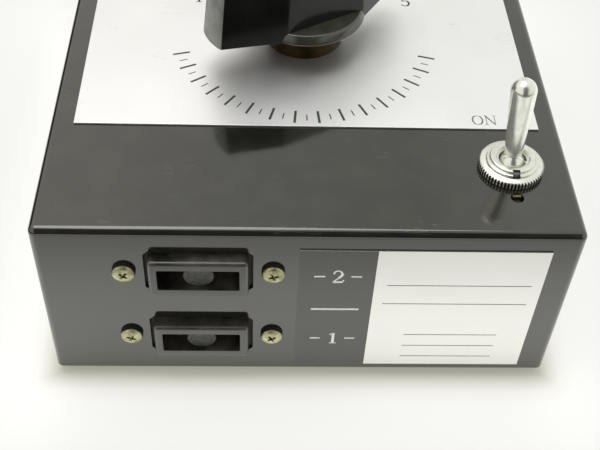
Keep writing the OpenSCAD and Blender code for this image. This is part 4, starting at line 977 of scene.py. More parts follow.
@dataclass
class Case:
    """The folded steel case with its cut-outs, and the four rubber feet."""

    sheet: float = 1.2
    edge: float = 2.0
    hem: float = 0.25
    tab: float = 14.0
    tab_sheet: float = 1.6
    tab_screw: float = 9.0
    tab_edge: float = 0.2
    cutout: tuple[float, float] = (28.0, 16.5)
    cut_corner: float = 2.0
    screw_pitch: float = 38.3
    screw_hole: float = 1.6
    knob_hole: float = 4.85
    toggle_hole: float = 6.05
    lug_hole: tuple[float, float] = (1.75, 11.4)
    fuse_hole: float = 6.35
    cord_hole: float = 6.05
    foot: float = 6.5
    shop: FinishShop = field(default_factory=FinishShop)

    def build(self) -> None:
        """Makes the shell and the feet."""
        self.low, self.high = box_mm("case_shell")
        shell = self.shell()
        for tool in [*self.outlet_tools(), *self.round_tools()]:
            worked(shell, tool)
        tabs = self.tabs()
        shell = joined("case_shell_painted", [polished(shell), *tabs])
        self.shop.dress(shell, "case_paint", "case", "case_shell")
        self.feet()

    def shell(self) -> Piece:
        """Folds the shell: a block with rounded edges, open below, given its wall.

        Returns:
            The shell without its holes.
        """
        shell = block("case_shell_painted", self.low, self.high)
        bottom = self.low.z + 0.01
        with shaping(shell):
            pick_faces(shell, lambda centre, normal: normal.z < -SQUARE)
            bpy.ops.mesh.delete(type="ONLY_FACE")
            bpy.ops.mesh.select_mode(type="EDGE")
            pick_edges(shell, lambda a, b: max(a.z, b.z) > bottom)
            bpy.ops.mesh.bevel(offset=self.edge * MM, segments=6, affect="EDGES")
        applied(shell, "SOLIDIFY", thickness=self.sheet * MM, offset=-1, use_even_offset=True)
        bevelled(shell, lambda a, b: max(a.z, b.z) < bottom, self.hem, 2, 60)
        return shell

    def outlet_tools(self) -> list[Piece]:
        """Makes the punches for the outlets' cut-outs and screws.

        Returns:
            The punches.
        """
        tools = []
        half_w, half_h = self.cutout[0] / 2, self.cutout[1] / 2
        front, back = self.low.y - 1, self.low.y + self.sheet + 1
        for node in ("outlet_body_upper", "outlet_body_lower"):
            low, high = box_mm(node)
            x, z = (low.x + high.x) / 2, (low.z + high.z) / 2
            punch = block("punch", (x - half_w, front, z - half_h), (x + half_w, back, z + half_h))
            bevelled(punch, lambda a, b: abs(a.y - b.y) > 1, self.cut_corner, 1)
            tools.append(punch)
            for side in (-1, 1):
                at = x + side * self.screw_pitch / 2
                tools.append(barrel("drill", self.screw_hole, (at, front, z), (at, back, z), 32))
        return tools

    def round_tools(self) -> list[Piece]:
        """Makes the drills for the switches, the fuse holder and the grommet.

        Returns:
            The drills.
        """
        knob, toggle, fuse = axis_mm("knob_turn"), axis_mm("toggle_throw"), axis_mm("fuse_cap_turn")
        cord_low, cord_high = box_mm("cord_grommet")
        under, over = self.high.z - self.sheet - 1, self.high.z + 1
        inside, behind = self.high.y - self.sheet - 1, self.high.y + 1
        lug_radius, lug_off = self.lug_hole
        upright = (
            (knob.x, knob.y, self.knob_hole),
            (toggle.x, toggle.y, self.toggle_hole),
            (toggle.x, toggle.y - lug_off, lug_radius),
        )
        cord = (cord_low + cord_high) / 2
        level = ((fuse.x, fuse.z, self.fuse_hole), (cord.x, cord.z, self.cord_hole))
        return [barrel("drill", r, (x, y, under), (x, y, over)) for x, y, r in upright] + [
            barrel("drill", r, (x, inside, z), (x, behind, z)) for x, z, r in level
        ]

    def tabs(self) -> list[Piece]:
        """Makes the four corner tabs that take the bottom cover's screws.

        Returns:
            The tabs.
        """
        half_w, mid = self.high.x - self.sheet, (self.low.y + self.high.y) / 2
        half_d = self.high.y - self.sheet - mid
        z = self.low.z + self.sheet
        tabs = []
        for sx in (-1, 1):
            for sy in (-1, 1):
                near = (sx * half_w, mid + sy * half_d)
                far = (near[0] - sx * self.tab, near[1] - sy * self.tab)
                low, high = [f(near[0], far[0]) for f in (min, max)], [f(near[1], far[1]) for f in (min, max)]
                tab = block("tab", (low[0], high[0], z), (low[1], high[1], z + self.tab_sheet))
                hole = (sx * (self.high.x - self.tab_screw), mid + sy * (self.high.y - mid - self.tab_screw))
                worked(tab, barrel("drill", self.screw_hole, (*hole, z - 1), (*hole, z + 4), 32))
                tabs.append(polished(eased(tab, self.tab_edge)))
        return tabs

    def feet(self) -> None:
        """Moulds one rubber foot with a hollow for its screw and copies it to each corner."""
        low, high = box_mm("rubber_feet")
        radius, tall = self.foot, high.z - low.z
        rings = [(2.2, 1.1), (2.2, 0.25), (2.5, 0.0), (5.3, 0.0), (5.8, 0.2), (6.0, 0.6)]
        foot = turned("rubber_foot_1", [*rings, (radius, tall - 0.2), (radius, tall)], 64)
        moved(foot, (low.x + radius, low.y + radius, low.z))
        step_x, step_y = high.x - low.x - 2 * radius, high.y - low.y - 2 * radius
        for number, (x, y) in enumerate(((step_x, 0), (0, step_y), (step_x, step_y)), 2):
            other = copied(foot, f"rubber_foot_{number}", (x, y, 0))
            self.shop.dress(polished(other), "foot_rubber", "case", "rubber_feet")
        self.shop.dress(polished(foot), "foot_rubber", "case", "rubber_feet")


# ---- Printing ----


class Lettering:
    """Engraver's numerals and switch words, drawn as strokes with small feet."""

    INK: ClassVar[float] = 0.03
    STROKES: ClassVar[dict[str, list[tuple[float, list[Ring]]]]] = {
        "1": [(1.0, [(0.3, 0.02), (0.3, 0.98)]), (0.5, [(0.3, 0.98), (0.2, 0.88), (0.08, 0.84)]),
              (0.5, [(0.1, 0.02), (0.5, 0.02)])],
        "2": [(0.6, [(0.06, 0.72), (0.1, 0.9), (0.28, 1.0), (0.46, 0.93), (0.55, 0.76)]),
              (1.0, [(0.55, 0.76), (0.52, 0.58), (0.36, 0.38)]), (0.55, [(0.36, 0.38), (0.18, 0.2), (0.05, 0.04)]),
              (0.9, [(0.05, 0.04), (0.58, 0.04)]), (0.5, [(0.58, 0.04), (0.63, 0.22)])],
        "3": [(0.6, [(0.08, 0.84), (0.18, 0.97), (0.34, 1.0), (0.48, 0.92)]),
              (1.0, [(0.48, 0.92), (0.52, 0.76), (0.42, 0.6)]), (0.5, [(0.42, 0.6), (0.26, 0.55)]),
              (1.0, [(0.42, 0.54), (0.58, 0.4), (0.57, 0.18), (0.44, 0.03)]),
              (0.6, [(0.44, 0.03), (0.28, 0.0), (0.12, 0.05), (0.05, 0.18)])],
        "4": [(1.0, [(0.45, 0.02), (0.45, 1.0)]), (0.5, [(0.45, 1.0), (0.02, 0.3)]), (0.6, [(0.02, 0.3), (0.66, 0.3)]),
              (0.5, [(0.28, 0.02), (0.6, 0.02)])],
        "5": [(0.9, [(0.54, 0.96), (0.16, 0.96)]), (0.5, [(0.16, 0.96), (0.1, 0.55)]),
              (0.6, [(0.1, 0.55), (0.28, 0.63), (0.44, 0.59)]),
              (1.0, [(0.44, 0.59), (0.58, 0.42), (0.55, 0.16), (0.4, 0.02)]),
              (0.6, [(0.4, 0.02), (0.24, 0.0), (0.1, 0.05), (0.04, 0.16)])],
        "O": [(1.0, [(0.22, 0.93), (0.08, 0.74), (0.05, 0.5), (0.08, 0.26), (0.22, 0.07)]),
              (0.55, [(0.22, 0.07), (0.42, 0.0), (0.62, 0.07)]),
              (1.0, [(0.62, 0.07), (0.76, 0.26), (0.79, 0.5), (0.76, 0.74), (0.62, 0.93)]),
              (0.55, [(0.62, 0.93), (0.42, 1.0), (0.22, 0.93)])],
        "N": [(0.5, [(0.14, 0.0), (0.14, 0.98)]), (1.0, [(0.1, 1.0), (0.76, 0.02)]), (0.5, [(0.76, 0.02), (0.76, 1.0)]),
              (0.45, [(0.0, 0.01), (0.28, 0.01)]), (0.45, [(0.0, 0.99), (0.16, 0.99)]),
              (0.45, [(0.62, 0.99), (0.9, 0.99)])],
    }

    def __init__(self, weight: float) -> None:
        """Sets the width of a full stroke in millimetres."""
        self.weight = weight

    def stroke(self, points: Sequence[Ring], width: float) -> Piece:
        """Draws one flat stroke in the plane z = 0.

        Args:
            points: its places in millimetres.
            width: its width in millimetres.

        Returns:
            The stroke as a thin mesh.
        """
        curve = bpy.data.curves.new("stroke", "CURVE")
        curve.dimensions, curve.bevel_depth, curve.bevel_resolution = "3D", width / 2 * MM, 1
        curve.use_fill_caps, curve.resolution_u = True, 5
        curved = len(points) > 2
        spline = curve.splines.new("NURBS" if curved else "POLY")
        spline.points.add(len(points) - 1)
        for point, (x, y) in zip(spline.points, points):
            point.co = (x * MM, y * MM, 0, 1)
        if curved:
            spline.order_u, spline.use_endpoint_u = 3, True
        obj = bpy.data.objects.new("stroke", curve)
        bpy.context.scene.collection.objects.link(obj)
        lone(obj)
        bpy.ops.object.convert(target="MESH")
        obj = bpy.context.active_object
        obj.scale = (1, 1, self.INK / width)
        return settled("stroke")

    def word(self, text: str, at: Ring, tall: float, track: float = 1.0) -> list[Piece]:
        """Sets a word centred on a place.

        Args:
            text: its letters or numerals.
            at: the word's centre in millimetres.
            tall: the height of a letter in millimetres.
            track: the step from letter to letter, in letter heights.

        Returns:
            Its strokes.
        """
        strokes = []
        for index, letter in enumerate(text):
            width = max(p[0] for _, points in self.STROKES[letter] for p in points)
            shift = (index - (len(text) - 1) / 2) * track - width / 2
            for weight, points in self.STROKES[letter]:
                placed = [(at[0] + (x + shift) * tall, at[1] + (y - 0.5) * tall) for x, y in points]
                strokes.append(self.stroke(placed, self.weight * weight))
        return strokes


@dataclass
class DialPlate:
    """The silver plate under the knob, with its numerals and graduated arc."""

    hole: float = 4.85
    ring: float = 37.3
    step: float = 30.0
    first: float = 150.0
    positions: int = 5
    tall: float = 4.6
    edge: float = 0.12
    bold: float = 0.62
    fine: float = 0.42
    arc: tuple[int, int, int] = (195, 350, 5)
    long_mark: tuple[float, float, float] = (34.8, 39.8, 0.7)
    short_mark: tuple[float, float, float] = (36.3, 38.6, 0.35)
    word_at: Ring = (49.2, -40.6)
    word_tall: float = 3.8
    shop: FinishShop = field(default_factory=FinishShop)

    def build(self) -> None:
        """Makes the plate and prints it."""
        low, high = box_mm("dial_plate")
        axis = axis_mm("knob_turn")
        plate = block("dial_plate_silver", low, high)
        eased(plate, self.edge)
        worked(plate, barrel("drill", self.hole, (axis.x, axis.y, low.z - 1), (axis.x, axis.y, high.z + 1)))
        self.shop.dress(polished(plate), "dial_silver", "case", "dial_plate")
        self.print_marks(axis, high.z)

    def print_marks(self, axis: Vector, top: float) -> None:
        """Prints the position numerals, a graduated arc in front and the switch word.

        Args:
            axis: the knob's axis in millimetres.
            top: the plate's upper face.
        """
        bold, fine = Lettering(self.bold), Lettering(self.fine)

        def place(degrees: float, radius: float) -> Ring:
            """Gives a place on the plate by its angle and its distance from the knob's axis."""
            angle = math.radians(degrees)
            return (axis.x + radius * math.cos(angle), axis.y + radius * math.sin(angle))

        dark = []
        for index in range(self.positions):
            dark += bold.word(str(index + 1), place(self.first - index * self.step, self.ring), self.tall)
        for degrees in range(*self.arc):
            inner, outer, width = self.long_mark if degrees % 10 == 5 else self.short_mark
            dark.append(bold.stroke([place(degrees, inner), place(degrees, outer)], width))
        marks = moved(joined("dial_numerals", dark), (0, 0, top))
        self.shop.dress(marks, "dark_ink", "case", slot="dial_silver")
        word = moved(joined("switch_on_word", fine.word("ON", self.word_at, self.word_tall, 0.98)), (0, 0, top))
        self.shop.dress(word, "grey_ink", "case", slot="dial_silver")


@dataclass
class FrontPlate:
    """The thin plate beside the outlets: a black field with numerals and a silver field with ruled lines."""

    split: float = 17.4
    rows: tuple[float, float, float] = (44.0, 30.5, 17.6)
    column: float = 7.7
    tall: float = 4.7
    dashes: Ring = (3.4, 6.2)
    bar: Ring = (7.6, 6.4)
    gap: float = 0.6
    edge: float = 0.1
    bold: float = 0.85
    dash_wide: float = 0.6
    bar_wide: float = 0.8
    line_wide: float = 0.3
    lines: Sequence[tuple[float, float, float]] = (
        (20.8, 59.0, 40.6), (20.2, 59.0, 33.0), (27.5, 53.4, 19.4), (27.5, 53.4, 14.4), (27.5, 53.4, 9.4),
    )
    shop: FinishShop = field(default_factory=FinishShop)

    def build(self) -> None:
        """Makes the plate, colours its two fields and prints them."""
        low, high = box_mm("front_plate")
        plate = eased(block("front_plate_printed", low, (high.x - self.gap, high.y, high.z)), self.edge)
        with shaping(plate):
            bpy.ops.mesh.bisect(plane_co=vec(self.split, 0, 0), plane_no=(1, 0, 0))
        polished(plate)
        self.shop.dress(plate, "front_plate_print", "case", "front_plate")
        self.shop.touch_up(
            plate, ["black_field"], lambda place, normal: int(place.x < self.split and normal.y < -SQUARE)
        )
        self.print_fields(low.y)

    def print_fields(self, face_y: float) -> None:
        """Prints the outlets' numerals in white and the ruled lines in grey.

        Args:
            face_y: the plate's front face.
        """
        bold, fine = Lettering(self.bold), Lettering(self.line_wide)
        white = []
        for row, text in zip(self.rows, ("2", "", "1")):
            if text:
                white += bold.word(text, (self.column, row), self.tall)
                near, far = self.dashes
                for side in (-1, 1):
                    white.append(bold.stroke([(self.column + side * off, row) for off in (near, far)], self.dash_wide))
            else:
                middle, half = self.bar
                white.append(bold.stroke([(middle - half, row), (middle + half, row)], self.bar_wide))
        numerals = moved(joined("outlet_numerals", white), (0, face_y, 0), (90, 0, 0))
        self.shop.dress(numerals, "white_ink", "case", slot="front_plate_print")
        ruled = [fine.stroke([(start, z), (end, z)], self.line_wide) for start, end, z in self.lines]
        sheet = moved(joined("ruled_lines", ruled), (0, face_y, 0), (90, 0, 0))
        self.shop.dress(sheet, "grey_ink", "case", slot="front_plate_print")


# ---- The outlets ----


@dataclass
class Outlets:
    """The two outlets on the front: moulded bodies with a plug recess, and their four screws."""

    neck: tuple[float, float] = (26.8, 15.3)
    neck_back: float = 0.8
    corner: float = 2.0
    frame: tuple[float, float] = (25.6, 12.8)
    frame_foot: float = 1.1
    lip: float = 1.0
    proud: float = 3.2
    recess: tuple[float, float] = (21.0, 7.5)
    recess_depth: float = 12.0
    recess_edge: float = 0.4
    slab_edge: float = 0.3
    edge: float = 0.12
    post: float = 4.0
    post_back: float = 1.5
    flange: tuple[float, float, float] = (46.9, 20.5, 3.0)
    back: tuple[float, float, float] = (29.0, 15.5, 17.0)
    sheet: float = 1.2
    screw_pitch: float = 38.3
    blade_pitch: float = 12.7
    blade_slit: tuple[float, float] = (0.6, 3.1)
    screw_hole: float = 1.6
    head: float = 3.05
    cross: tuple[float, float] = (3.7, 0.84)
    twist: float = 37.0
    smooth: float = 35.0
    shop: FinishShop = field(default_factory=FinishShop)

    def build(self) -> None:
        """Makes one body and one screw and copies them to their places."""
        places = {}
        for node in ("outlet_body_upper", "outlet_body_lower"):
            low, high = box_mm(node)
            places[node] = Vector(((low.x + high.x) / 2, box_mm("case_shell")[0].y, (low.z + high.z) / 2))
        body, screw = self.body(), self.screw()
        number = 0
        for node, at in places.items():
            piece = polished(copied(body, f"{node}_moulded", at), self.smooth)
            self.shop.dress(piece, "outlet_plastic", "case", node)
            # The post gets dust; painted shade darkens the neck's face in the gap round the frame.
            self.shop.touch_up(piece, ["dusty_plastic", "slot_shade"], self.dust_and_painted_light_face, at)
            for side in (-1, 1):
                number += 1
                by = at + Vector((side * self.screw_pitch / 2, 0, 0))
                turned_screw = moved(copied(screw, "turned_screw", (0, 0, 0)), (0, 0, 0), (0, number * self.twist, 0))
                fixed = polished(copied(turned_screw, f"outlet_screw_{number}", by), self.smooth)
                self.shop.dress(fixed, "zinc_steel", "case", "outlet_screws")
                # painted shade: the head's side and the walls of its cross recess get the dark slot coat
                self.shop.touch_up(fixed, ["slot_shade"], lambda _, normal: int(abs(normal.y) < 0.45))
                bpy.data.objects.remove(turned_screw, do_unlink=True)
        for pattern in (body, screw):
            bpy.data.objects.remove(pattern, do_unlink=True)

    def dust_and_painted_light_face(self, off: Vector, normal: Vector) -> int:
        """Picks a front face's finish: dusty on the post, painted shade on the neck's face in the gap round the frame.

        Args:
            off: the face's centre in millimetres from the outlet's middle.
            normal: the face's normal.

        Returns:
            The finish's number.
        """
        if normal.y > -0.3:
            return 0
        on_post = math.hypot(off.x, off.z) < self.post and self.post_back - self.proud - 0.1 < off.y < 1
        # painted shade for the neck's face in the gap
        return 1 if on_post else 2 * int(0.3 < off.y < 1.3)

    def body(self) -> Piece:
        """Moulds an outlet about the origin, its face towards -Y and the sheet's front at y = 0.

        Returns:
            The body.
        """
        half_w, half_h = self.neck[0] / 2, self.neck[1] / 2
        body = block("outlet_mould", (-half_w, self.neck_back, -half_h), (half_w, self.sheet + 1, half_h))
        bevelled(body, lambda a, b: abs(a.y - b.y) > 1, self.corner, 1)
        frame_w, frame_h = self.frame[0] / 2, self.frame[1] / 2
        front = block("frame", (-frame_w, -self.proud, -frame_h), (frame_w, self.frame_foot, frame_h))
        bevelled(front, lambda a, b: min(a.y, b.y) < 0.01 - self.proud, self.lip, 5)
        worked(body, front, Cut.ADD)
        sheet = self.sheet
        for name, (w, h, deep), sunk in (("flange", self.flange, 0.0), ("back", self.back, 0.5)):
            slab = block(name, (-w / 2, sheet + sunk, -h / 2), (w / 2, sheet + deep, h / 2))
            worked(body, eased(slab, self.slab_edge), Cut.ADD)
        rec_w, rec_h = self.recess[0] / 2, self.recess[1] / 2
        floor_y = self.recess_depth - self.proud
        pocket = block("pocket", (-rec_w, -self.proud - 1, -rec_h), (rec_w, floor_y, rec_h))
        worked(body, eased(pocket, self.recess_edge))
        slit_w, slit_h = (size / 2 for size in self.blade_slit)
        behind_flange, behind_back = sheet + self.flange[2] + 1, sheet + self.back[2] + 1
        for side in (-1, 1):
            at = side * self.screw_pitch / 2
            worked(body, barrel("drill", self.screw_hole, (at, sheet - 1, 0), (at, behind_flange, 0), 32))
            slit = side * self.blade_pitch / 2
            low, high = (slit - slit_w, floor_y - 1, -slit_h), (slit + slit_w, behind_back, slit_h)
            worked(body, block("slit", low, high))
        eased(body, self.edge, 2, 50)
        return joined("outlet_mould", [body, self.post_piece(rec_h, floor_y)])

    def post_piece(self, half_h: float, floor_y: float) -> Piece:
        """Makes the round post between the blades, its top and bottom flat against the recess.

        Args:
            half_h: half the recess's height.
            floor_y: the recess's floor.

        Returns:
            The post.
        """
        r, top = self.post, self.proud - self.post_back
        rings = [(r, -floor_y - 0.5), (r, top - 0.4), (r - 0.12, top - 0.12), (r - 0.4, top), (r - 1.0, top)]
        post = turned("post", [*rings, (r - 1.15, top - 0.15), (0, top - 0.15)], 48)
        moved(post, (0, 0, 0), (90, 0, 0))
        with shaping(post):
            for side in (-1, 1):
                bpy.ops.mesh.select_all(action="SELECT")
                bpy.ops.mesh.bisect(
                    plane_co=vec(0, 0, side * (half_h + 0.02)), plane_no=(0, 0, side), use_fill=True, clear_outer=True
                )
        return post

    def screw(self) -> Piece:
        """Turns a pan-head screw about the origin, its head towards -Y, with a tapered cross recess.

        Returns:
            The screw.
        """
        r = self.head
        rings = [
            (1.2, -7.6), (1.5, -7.2), (1.5, 0), (r - 0.08, 0), (r, 0.12), (r, 0.75), (r - 0.08, 1.05),
            (r - 0.3, 1.35), (r - 0.7, 1.6), (r - 1.3, 1.78), (r - 2.1, 1.88), (0, 1.9),
        ]
        screw = turned("screw_blank", rings, 48)
        wing_l, wing_w = (size / 2 for size in self.cross)
        for turn in (0, 90):
            wing = block("wing", (-wing_l, -wing_w, 1.1), (wing_l, wing_w, 2.4))
            with shaping(wing):
                pick_faces(wing, lambda centre, normal: normal.z < -SQUARE)
                swell(0.42, 0.55, 1)
            worked(screw, moved(wing, (0, 0, 0), (0, 0, turn)))
        eased(screw, 0.05, 1, 40)
        return moved(screw, (0, 0, 0), (90, 0, 0))


# ---- The knob ----


@dataclass
class Knob:
    """The pointer knob: a bevelled skirt and a tapering bar with a blunt tail."""

    skirt: float = 17.6
    tall: float = 23.5
    half_w: float = 11.3
    reach: float = 33.0
    tail: float = 31.7
    tail_half: float = 5.2
    nose_half: float = 1.15
    bulge: float = 0.8
    strips: int = 8
    shoulder: float = 13.0
    draft: float = 1.8
    crown: float = 1.2
    arris: float = 0.45
    foot_edge: float = 0.3
    bore: float = 5.55
    bore_deep: float = 17.9
    screw_hole: float = 2.1
    screw_up: float = 10.0
    groove: float = 1.1
    line: float = 1.0
    line_from: float = 9.0
    rest: float = 30.0
    shop: FinishShop = field(default_factory=FinishShop)

    def build(self) -> None:
        """Makes the knob and its white line."""
        low, _ = box_mm("knob")
        axis = axis_mm("knob_turn")
        at = (axis.x, axis.y, low.z)
        knob = worked(self.skirt_piece(), self.bar(), Cut.ADD)
        rings = [(7.5, -1), (14.1, -1), (14.1, 1.8), (13.9, 2), (7.7, 2), (7.5, 1.8)]
        worked(knob, turned("hollow", rings, 96, Ends.JOINED))
        worked(knob, barrel("drill", self.bore, (0, 0, -1), (0, 0, self.bore_deep)))
        worked(knob, barrel("drill", self.screw_hole, (0, 0, self.screw_up), (0, self.skirt + 4, self.screw_up), 32))
        half, floor = self.groove / 2, self.tall - 0.3
        worked(knob, block("groove", (self.line_from, -half, floor), (self.reach + 2, half, self.tall + 1)))
        knob.name = knob.data.name = "pointer_knob"
        self.shop.dress(moved(polished(knob, 30), at, (0, 0, self.rest)), "knob_bakelite", "knob", "knob")
        # painted highlight on the tail's end face and painted light on the skirt
        self.shop.touch_up(knob, ["painted_highlight_bakelite", "painted_light_skirt"], self.dust_and_painted_light_face, at)
        half = self.line / 2
        line = block("pointer_line", (self.line_from + 0.05, -half, floor), (self.reach - 3.3, half, self.tall - 0.06))
        line = moved(polished(eased(line, 0.05)), at, (0, 0, self.rest))
        self.shop.dress(line, "white_ink", "knob", slot="knob_bakelite")

    def dust_and_painted_light_face(self, place: Vector, normal: Vector) -> int:
        """Picks a face's finish: a painted highlight on the tail's end, painted light on the skirt.

        Args:
            place: the face's centre in millimetres from the knob's foot.
            normal: the face's normal.

        Returns:
            The finish's number.
        """
        angle = math.radians(self.rest)
        behind = -Vector((math.cos(angle), math.sin(angle), 0))
        # painted highlight on the tail's end
        if normal.dot(behind) > 0.45 and place.dot(behind) > self.tail * 0.8:
            return 1
        # painted light on the skirt's faces
        return 2 * int(place.z < 3.3 and math.hypot(place.x, place.y) < self.skirt + 0.1)

    def skirt_piece(self) -> Piece:
        """Turns the skirt with its bevelled rim and flat top.

        Returns:
            The skirt about the origin.
        """
        r = self.skirt
        rings = [
            (r - 0.5, 0), (r - 0.15, 0.12), (r, 0.45), (r - 0.12, 0.9), (r - 0.62, 2.35), (r - 0.8, 2.62),
            (r - 1.05, 2.85), (r - 1.4, 3.0), (r - 8, 3.06), (0, 3.1),
        ]
        return turned("skirt", rings, 144)

    def bar(self) -> Piece:
        """Carves the bar from a block by its tapers and draft, and rounds its edges.

        Returns:
            The bar about the origin, pointing along +X.
        """
        top, d = self.tall - self.crown, self.draft
        bar = block("bar", (-self.tail, -self.half_w, 0), (self.reach - 0.2, self.half_w, self.tall))
        shoulder, tail_x = self.shoulder, self.tail - self.bulge
        planes = []
        for side in (-1, 1):
            w, t, high = side * self.half_w, side * self.tail_half, side * (self.half_w - d)
            planes.append(((0, w, 0), (1, w, 0), (0, high, top)))
            planes.append(((1 - shoulder, w, 0), (-tail_x, t, 0), (1 - shoulder, high, top)))
            planes.append(((shoulder, w, 0), (self.reach - 0.7, side * self.nose_half, 0), (shoulder, high, top)))
        planes.append(((-tail_x, 0, 0), (-tail_x, 1, 0), (-tail_x + 1.35 * d, 0, top)))
        with shaping(bar):
            for first, second, third in planes:
                a, b, c = Vector(first), Vector(second), Vector(third)
                normal = (b - a).cross(c - a).normalized()
                if normal.dot(a - Vector((0, 0, 10))) < 0:
                    normal = -normal
                bpy.ops.mesh.select_all(action="SELECT")
                bpy.ops.mesh.bisect(plane_co=a * MM, plane_no=normal, use_fill=True, clear_outer=True)
            bpy.ops.mesh.select_all(action="SELECT")
            bpy.ops.mesh.remove_doubles(threshold=0.00002)
            self.bulge_tail(bar)
            bpy.ops.mesh.select_mode(type="EDGE")
            high, rise = self.tall - 0.05, self.tall * 0.5
            for test, sharper, width, segments in (
                (lambda a, b: min(a.z, b.z) > high, 30, self.crown, 5),
                (lambda a, b: abs(a.z - b.z) > rise, 12, self.arris, 3),
                (lambda a, b: max(a.z, b.z) < 0.05, 40, self.foot_edge, 2),
            ):
                pick_edges(bar, test, sharper)
                bpy.ops.mesh.bevel(offset=width * MM, segments=segments, affect="EDGES")
        return bar

    def bulge_tail(self, bar: Piece) -> None:
        """Splits the tail's end face into upright strips and swells them to an arc.

        Args:
            bar: the bar, open for editing.
        """
        shares = [2 * index / self.strips - 1 for index in range(1, self.strips)]
        for share in shares:
            pick_faces(bar, lambda centre, normal: normal.x < -SQUARE)
            bpy.ops.mesh.bisect(plane_co=vec(0, self.tail_half * share, 0), plane_no=(0, 1, 0))
        bpy.ops.mesh.select_mode(type="VERT")
        for share in shares:
            at = self.tail_half * share
            pick_points(bar, lambda place: place.x < 6 - self.tail and abs(place.y - at) < 0.2)
            bpy.ops.transform.translate(value=vec(self.bulge * (share * share - 1), 0, 0))


# ---- The toggle ----


@dataclass
class Toggle:
    """The toggle's bat lever and the knurled dress nut round it."""

    lean: float = 13.0
    ball: float = 3.5
    reach: float = 21.2
    tip: float = 3.4
    tail: float = 16.9
    pin: float = 0.86
    ring: float = 8.65
    knurls: int = 60
    knurl_in: float = 0.55
    slot: tuple[float, float] = (5.15, 7.4)
    slot_half: float = 0.95
    slot_floor: float = 2.4
    nut_tall: float = 4.0
    bore: float = 6.05
    washer_sheet: float = 0.8
    lug: float = 2.2
    lug_back: float = 1.35
    shop: FinishShop = field(default_factory=FinishShop)

    def build(self) -> None:
        """Makes the lever, the dress nut and the locating washer."""
        axis = axis_mm("toggle_throw")
        lever = self.lever()
        self.shop.dress(moved(lever, axis, (-self.lean, 0, 0)), "chrome_plate", "toggle_lever", "toggle_lever")
        low, _ = box_mm("toggle_dress_nut")
        nut = self.dress_nut()
        self.shop.dress(moved(nut, (axis.x, axis.y, low.z)), "chrome_plate", "case", "toggle_dress_nut")
        # painted shade: dark coat on the knurls' flanks and in the slots
        self.shop.touch_up(nut, ["worn_nickel", "slot_shade"], self.nut_face, (axis.x, axis.y, low.z))
        washer = self.washer()
        self.shop.dress(washer, SUBPARTS["toggle_washer"], "case", "toggle_washer")
        # painted shade: all of the washer but the lug's top end gets the dark slot coat
        end = box_mm("toggle_washer")[1].z - 0.2
        self.shop.touch_up(washer, ["slot_shade"], lambda place, normal: int(place.z < end or normal.z < 0.3))

    def nut_face(self, place: Vector, normal: Vector) -> int:
        """Picks a face's finish on the nut: worn on the knurls' crests, painted shade on the flanks between them and in
        the slots.

        Args:
            place: the face's centre in millimetres from the nut's foot.
            normal: the face's normal.

        Returns:
            The finish's number.
        """
        outward = Vector((place.x, place.y, 0)).normalized()
        if math.hypot(place.x, place.y) > self.ring - 0.7 and place.z < 1.8:
            return 1 if normal.dot(outward) > 0.95 else 2
        start, end = self.slot
        between = abs(place.x) < self.slot_half + 0.02 and start - 0.05 < abs(place.y) < end
        return 2 * int(between and self.slot_floor - 0.05 < place.z < self.nut_tall - 0.03)

    def lever(self) -> Piece:
        """Turns the lever along +Z: a thin tail, a ball and a bat with a round tip.

        Returns:
            The lever about its pivot.
        """

        def arc(radius: float, middle: float, degrees: range) -> list[Ring]:
            """Gives a round profile about a place on the axis."""
            angles = [math.radians(a) for a in degrees]
            return [(radius * math.cos(a), middle + radius * math.sin(a)) for a in angles]

        tail, top = self.tail, self.reach + self.tip
        rings = [
            (0.5, -tail), (1.1, -tail + 0.3), (1.45, -tail + 0.9), (1.5, -tail + 1.6),
            *arc(self.ball, 0, range(-64, 45, 9)),
            (2.4, 3.0), (2.42, 4.0), (2.62, 7.0), (2.86, 11.0), (3.1, 15.0), (3.27, 18.5),
            *arc(self.tip, self.reach, range(-9, 90, 9)), (0, top),
        ]
        lever = turned("bat_lever", rings, 72)
        worked(lever, barrel("drill", self.pin, (-5, 0, 0), (5, 0, 0), 32))
        return polished(lever, 50)

    def washer(self) -> Piece:
        """Cuts the locating washer under the lid, with the lug that stands in the lid's small hole.

        Returns:
            The washer in place.
        """
        low, high = box_mm("toggle_washer")
        axis = axis_mm("toggle_throw")
        radius, flat = high.y - axis.y, low.z + self.washer_sheet
        washer = barrel("toggle_washer", radius, (axis.x, axis.y, low.z), (axis.x, axis.y, flat))
        left, right = axis.x - self.lug / 2, axis.x + self.lug / 2
        tongue = block("tongue", (left, low.y, low.z), (right, axis.y - radius + 1, flat))
        back = low.y + self.lug_back
        lug = block("lug", (left, back, low.z), (right, back + self.washer_sheet, high.z))
        worked(worked(washer, tongue, Cut.ADD), lug, Cut.ADD)
        worked(washer, barrel("drill", self.bore, (axis.x, axis.y, low.z - 1), (axis.x, axis.y, flat + 1)))
        washer.name = washer.data.name = "locating_washer"
        return polished(eased(washer, 0.08))

    def dress_nut(self) -> Piece:
        """Turns the dress nut in tiers, knurls its ring and cuts its two slots.

        Returns:
            The nut about the origin, standing on z = 0.
        """
        r = self.ring
        rings = [
            (self.bore, 0.0), (r - 0.3, 0.0), (r, 0.22), (r, 1.7), (r - 0.22, 1.95), (r - 0.5, 2.08), (7.1, 2.3),
            (6.96, 2.36), (6.88, 2.5), (6.84, 3.0), (6.72, 3.14), (6.5, 3.2), (6.14, 3.22), (6.05, 3.3), (6.0, 3.75),
            (5.88, 3.92), (5.6, 4.0), (4.55, 4.0), (4.3, 3.8), (4.3, 3.1), (self.bore, 3.1),
        ]
        nut = turned("dress_nut", rings, 3 * self.knurls, Ends.JOINED)
        with shaping(nut, Pick.POINTS):
            pick_points(nut, self.in_groove)
            ratio = (r - self.knurl_in) / r
            swell(ratio, ratio, 1)
        for side in (-1, 1):
            near, far = sorted(side * off for off in self.slot)
            low, high = (-self.slot_half, near, self.slot_floor), (self.slot_half, far, self.nut_tall + 1)
            worked(nut, block("slot", low, high))
        return polished(nut, 35)

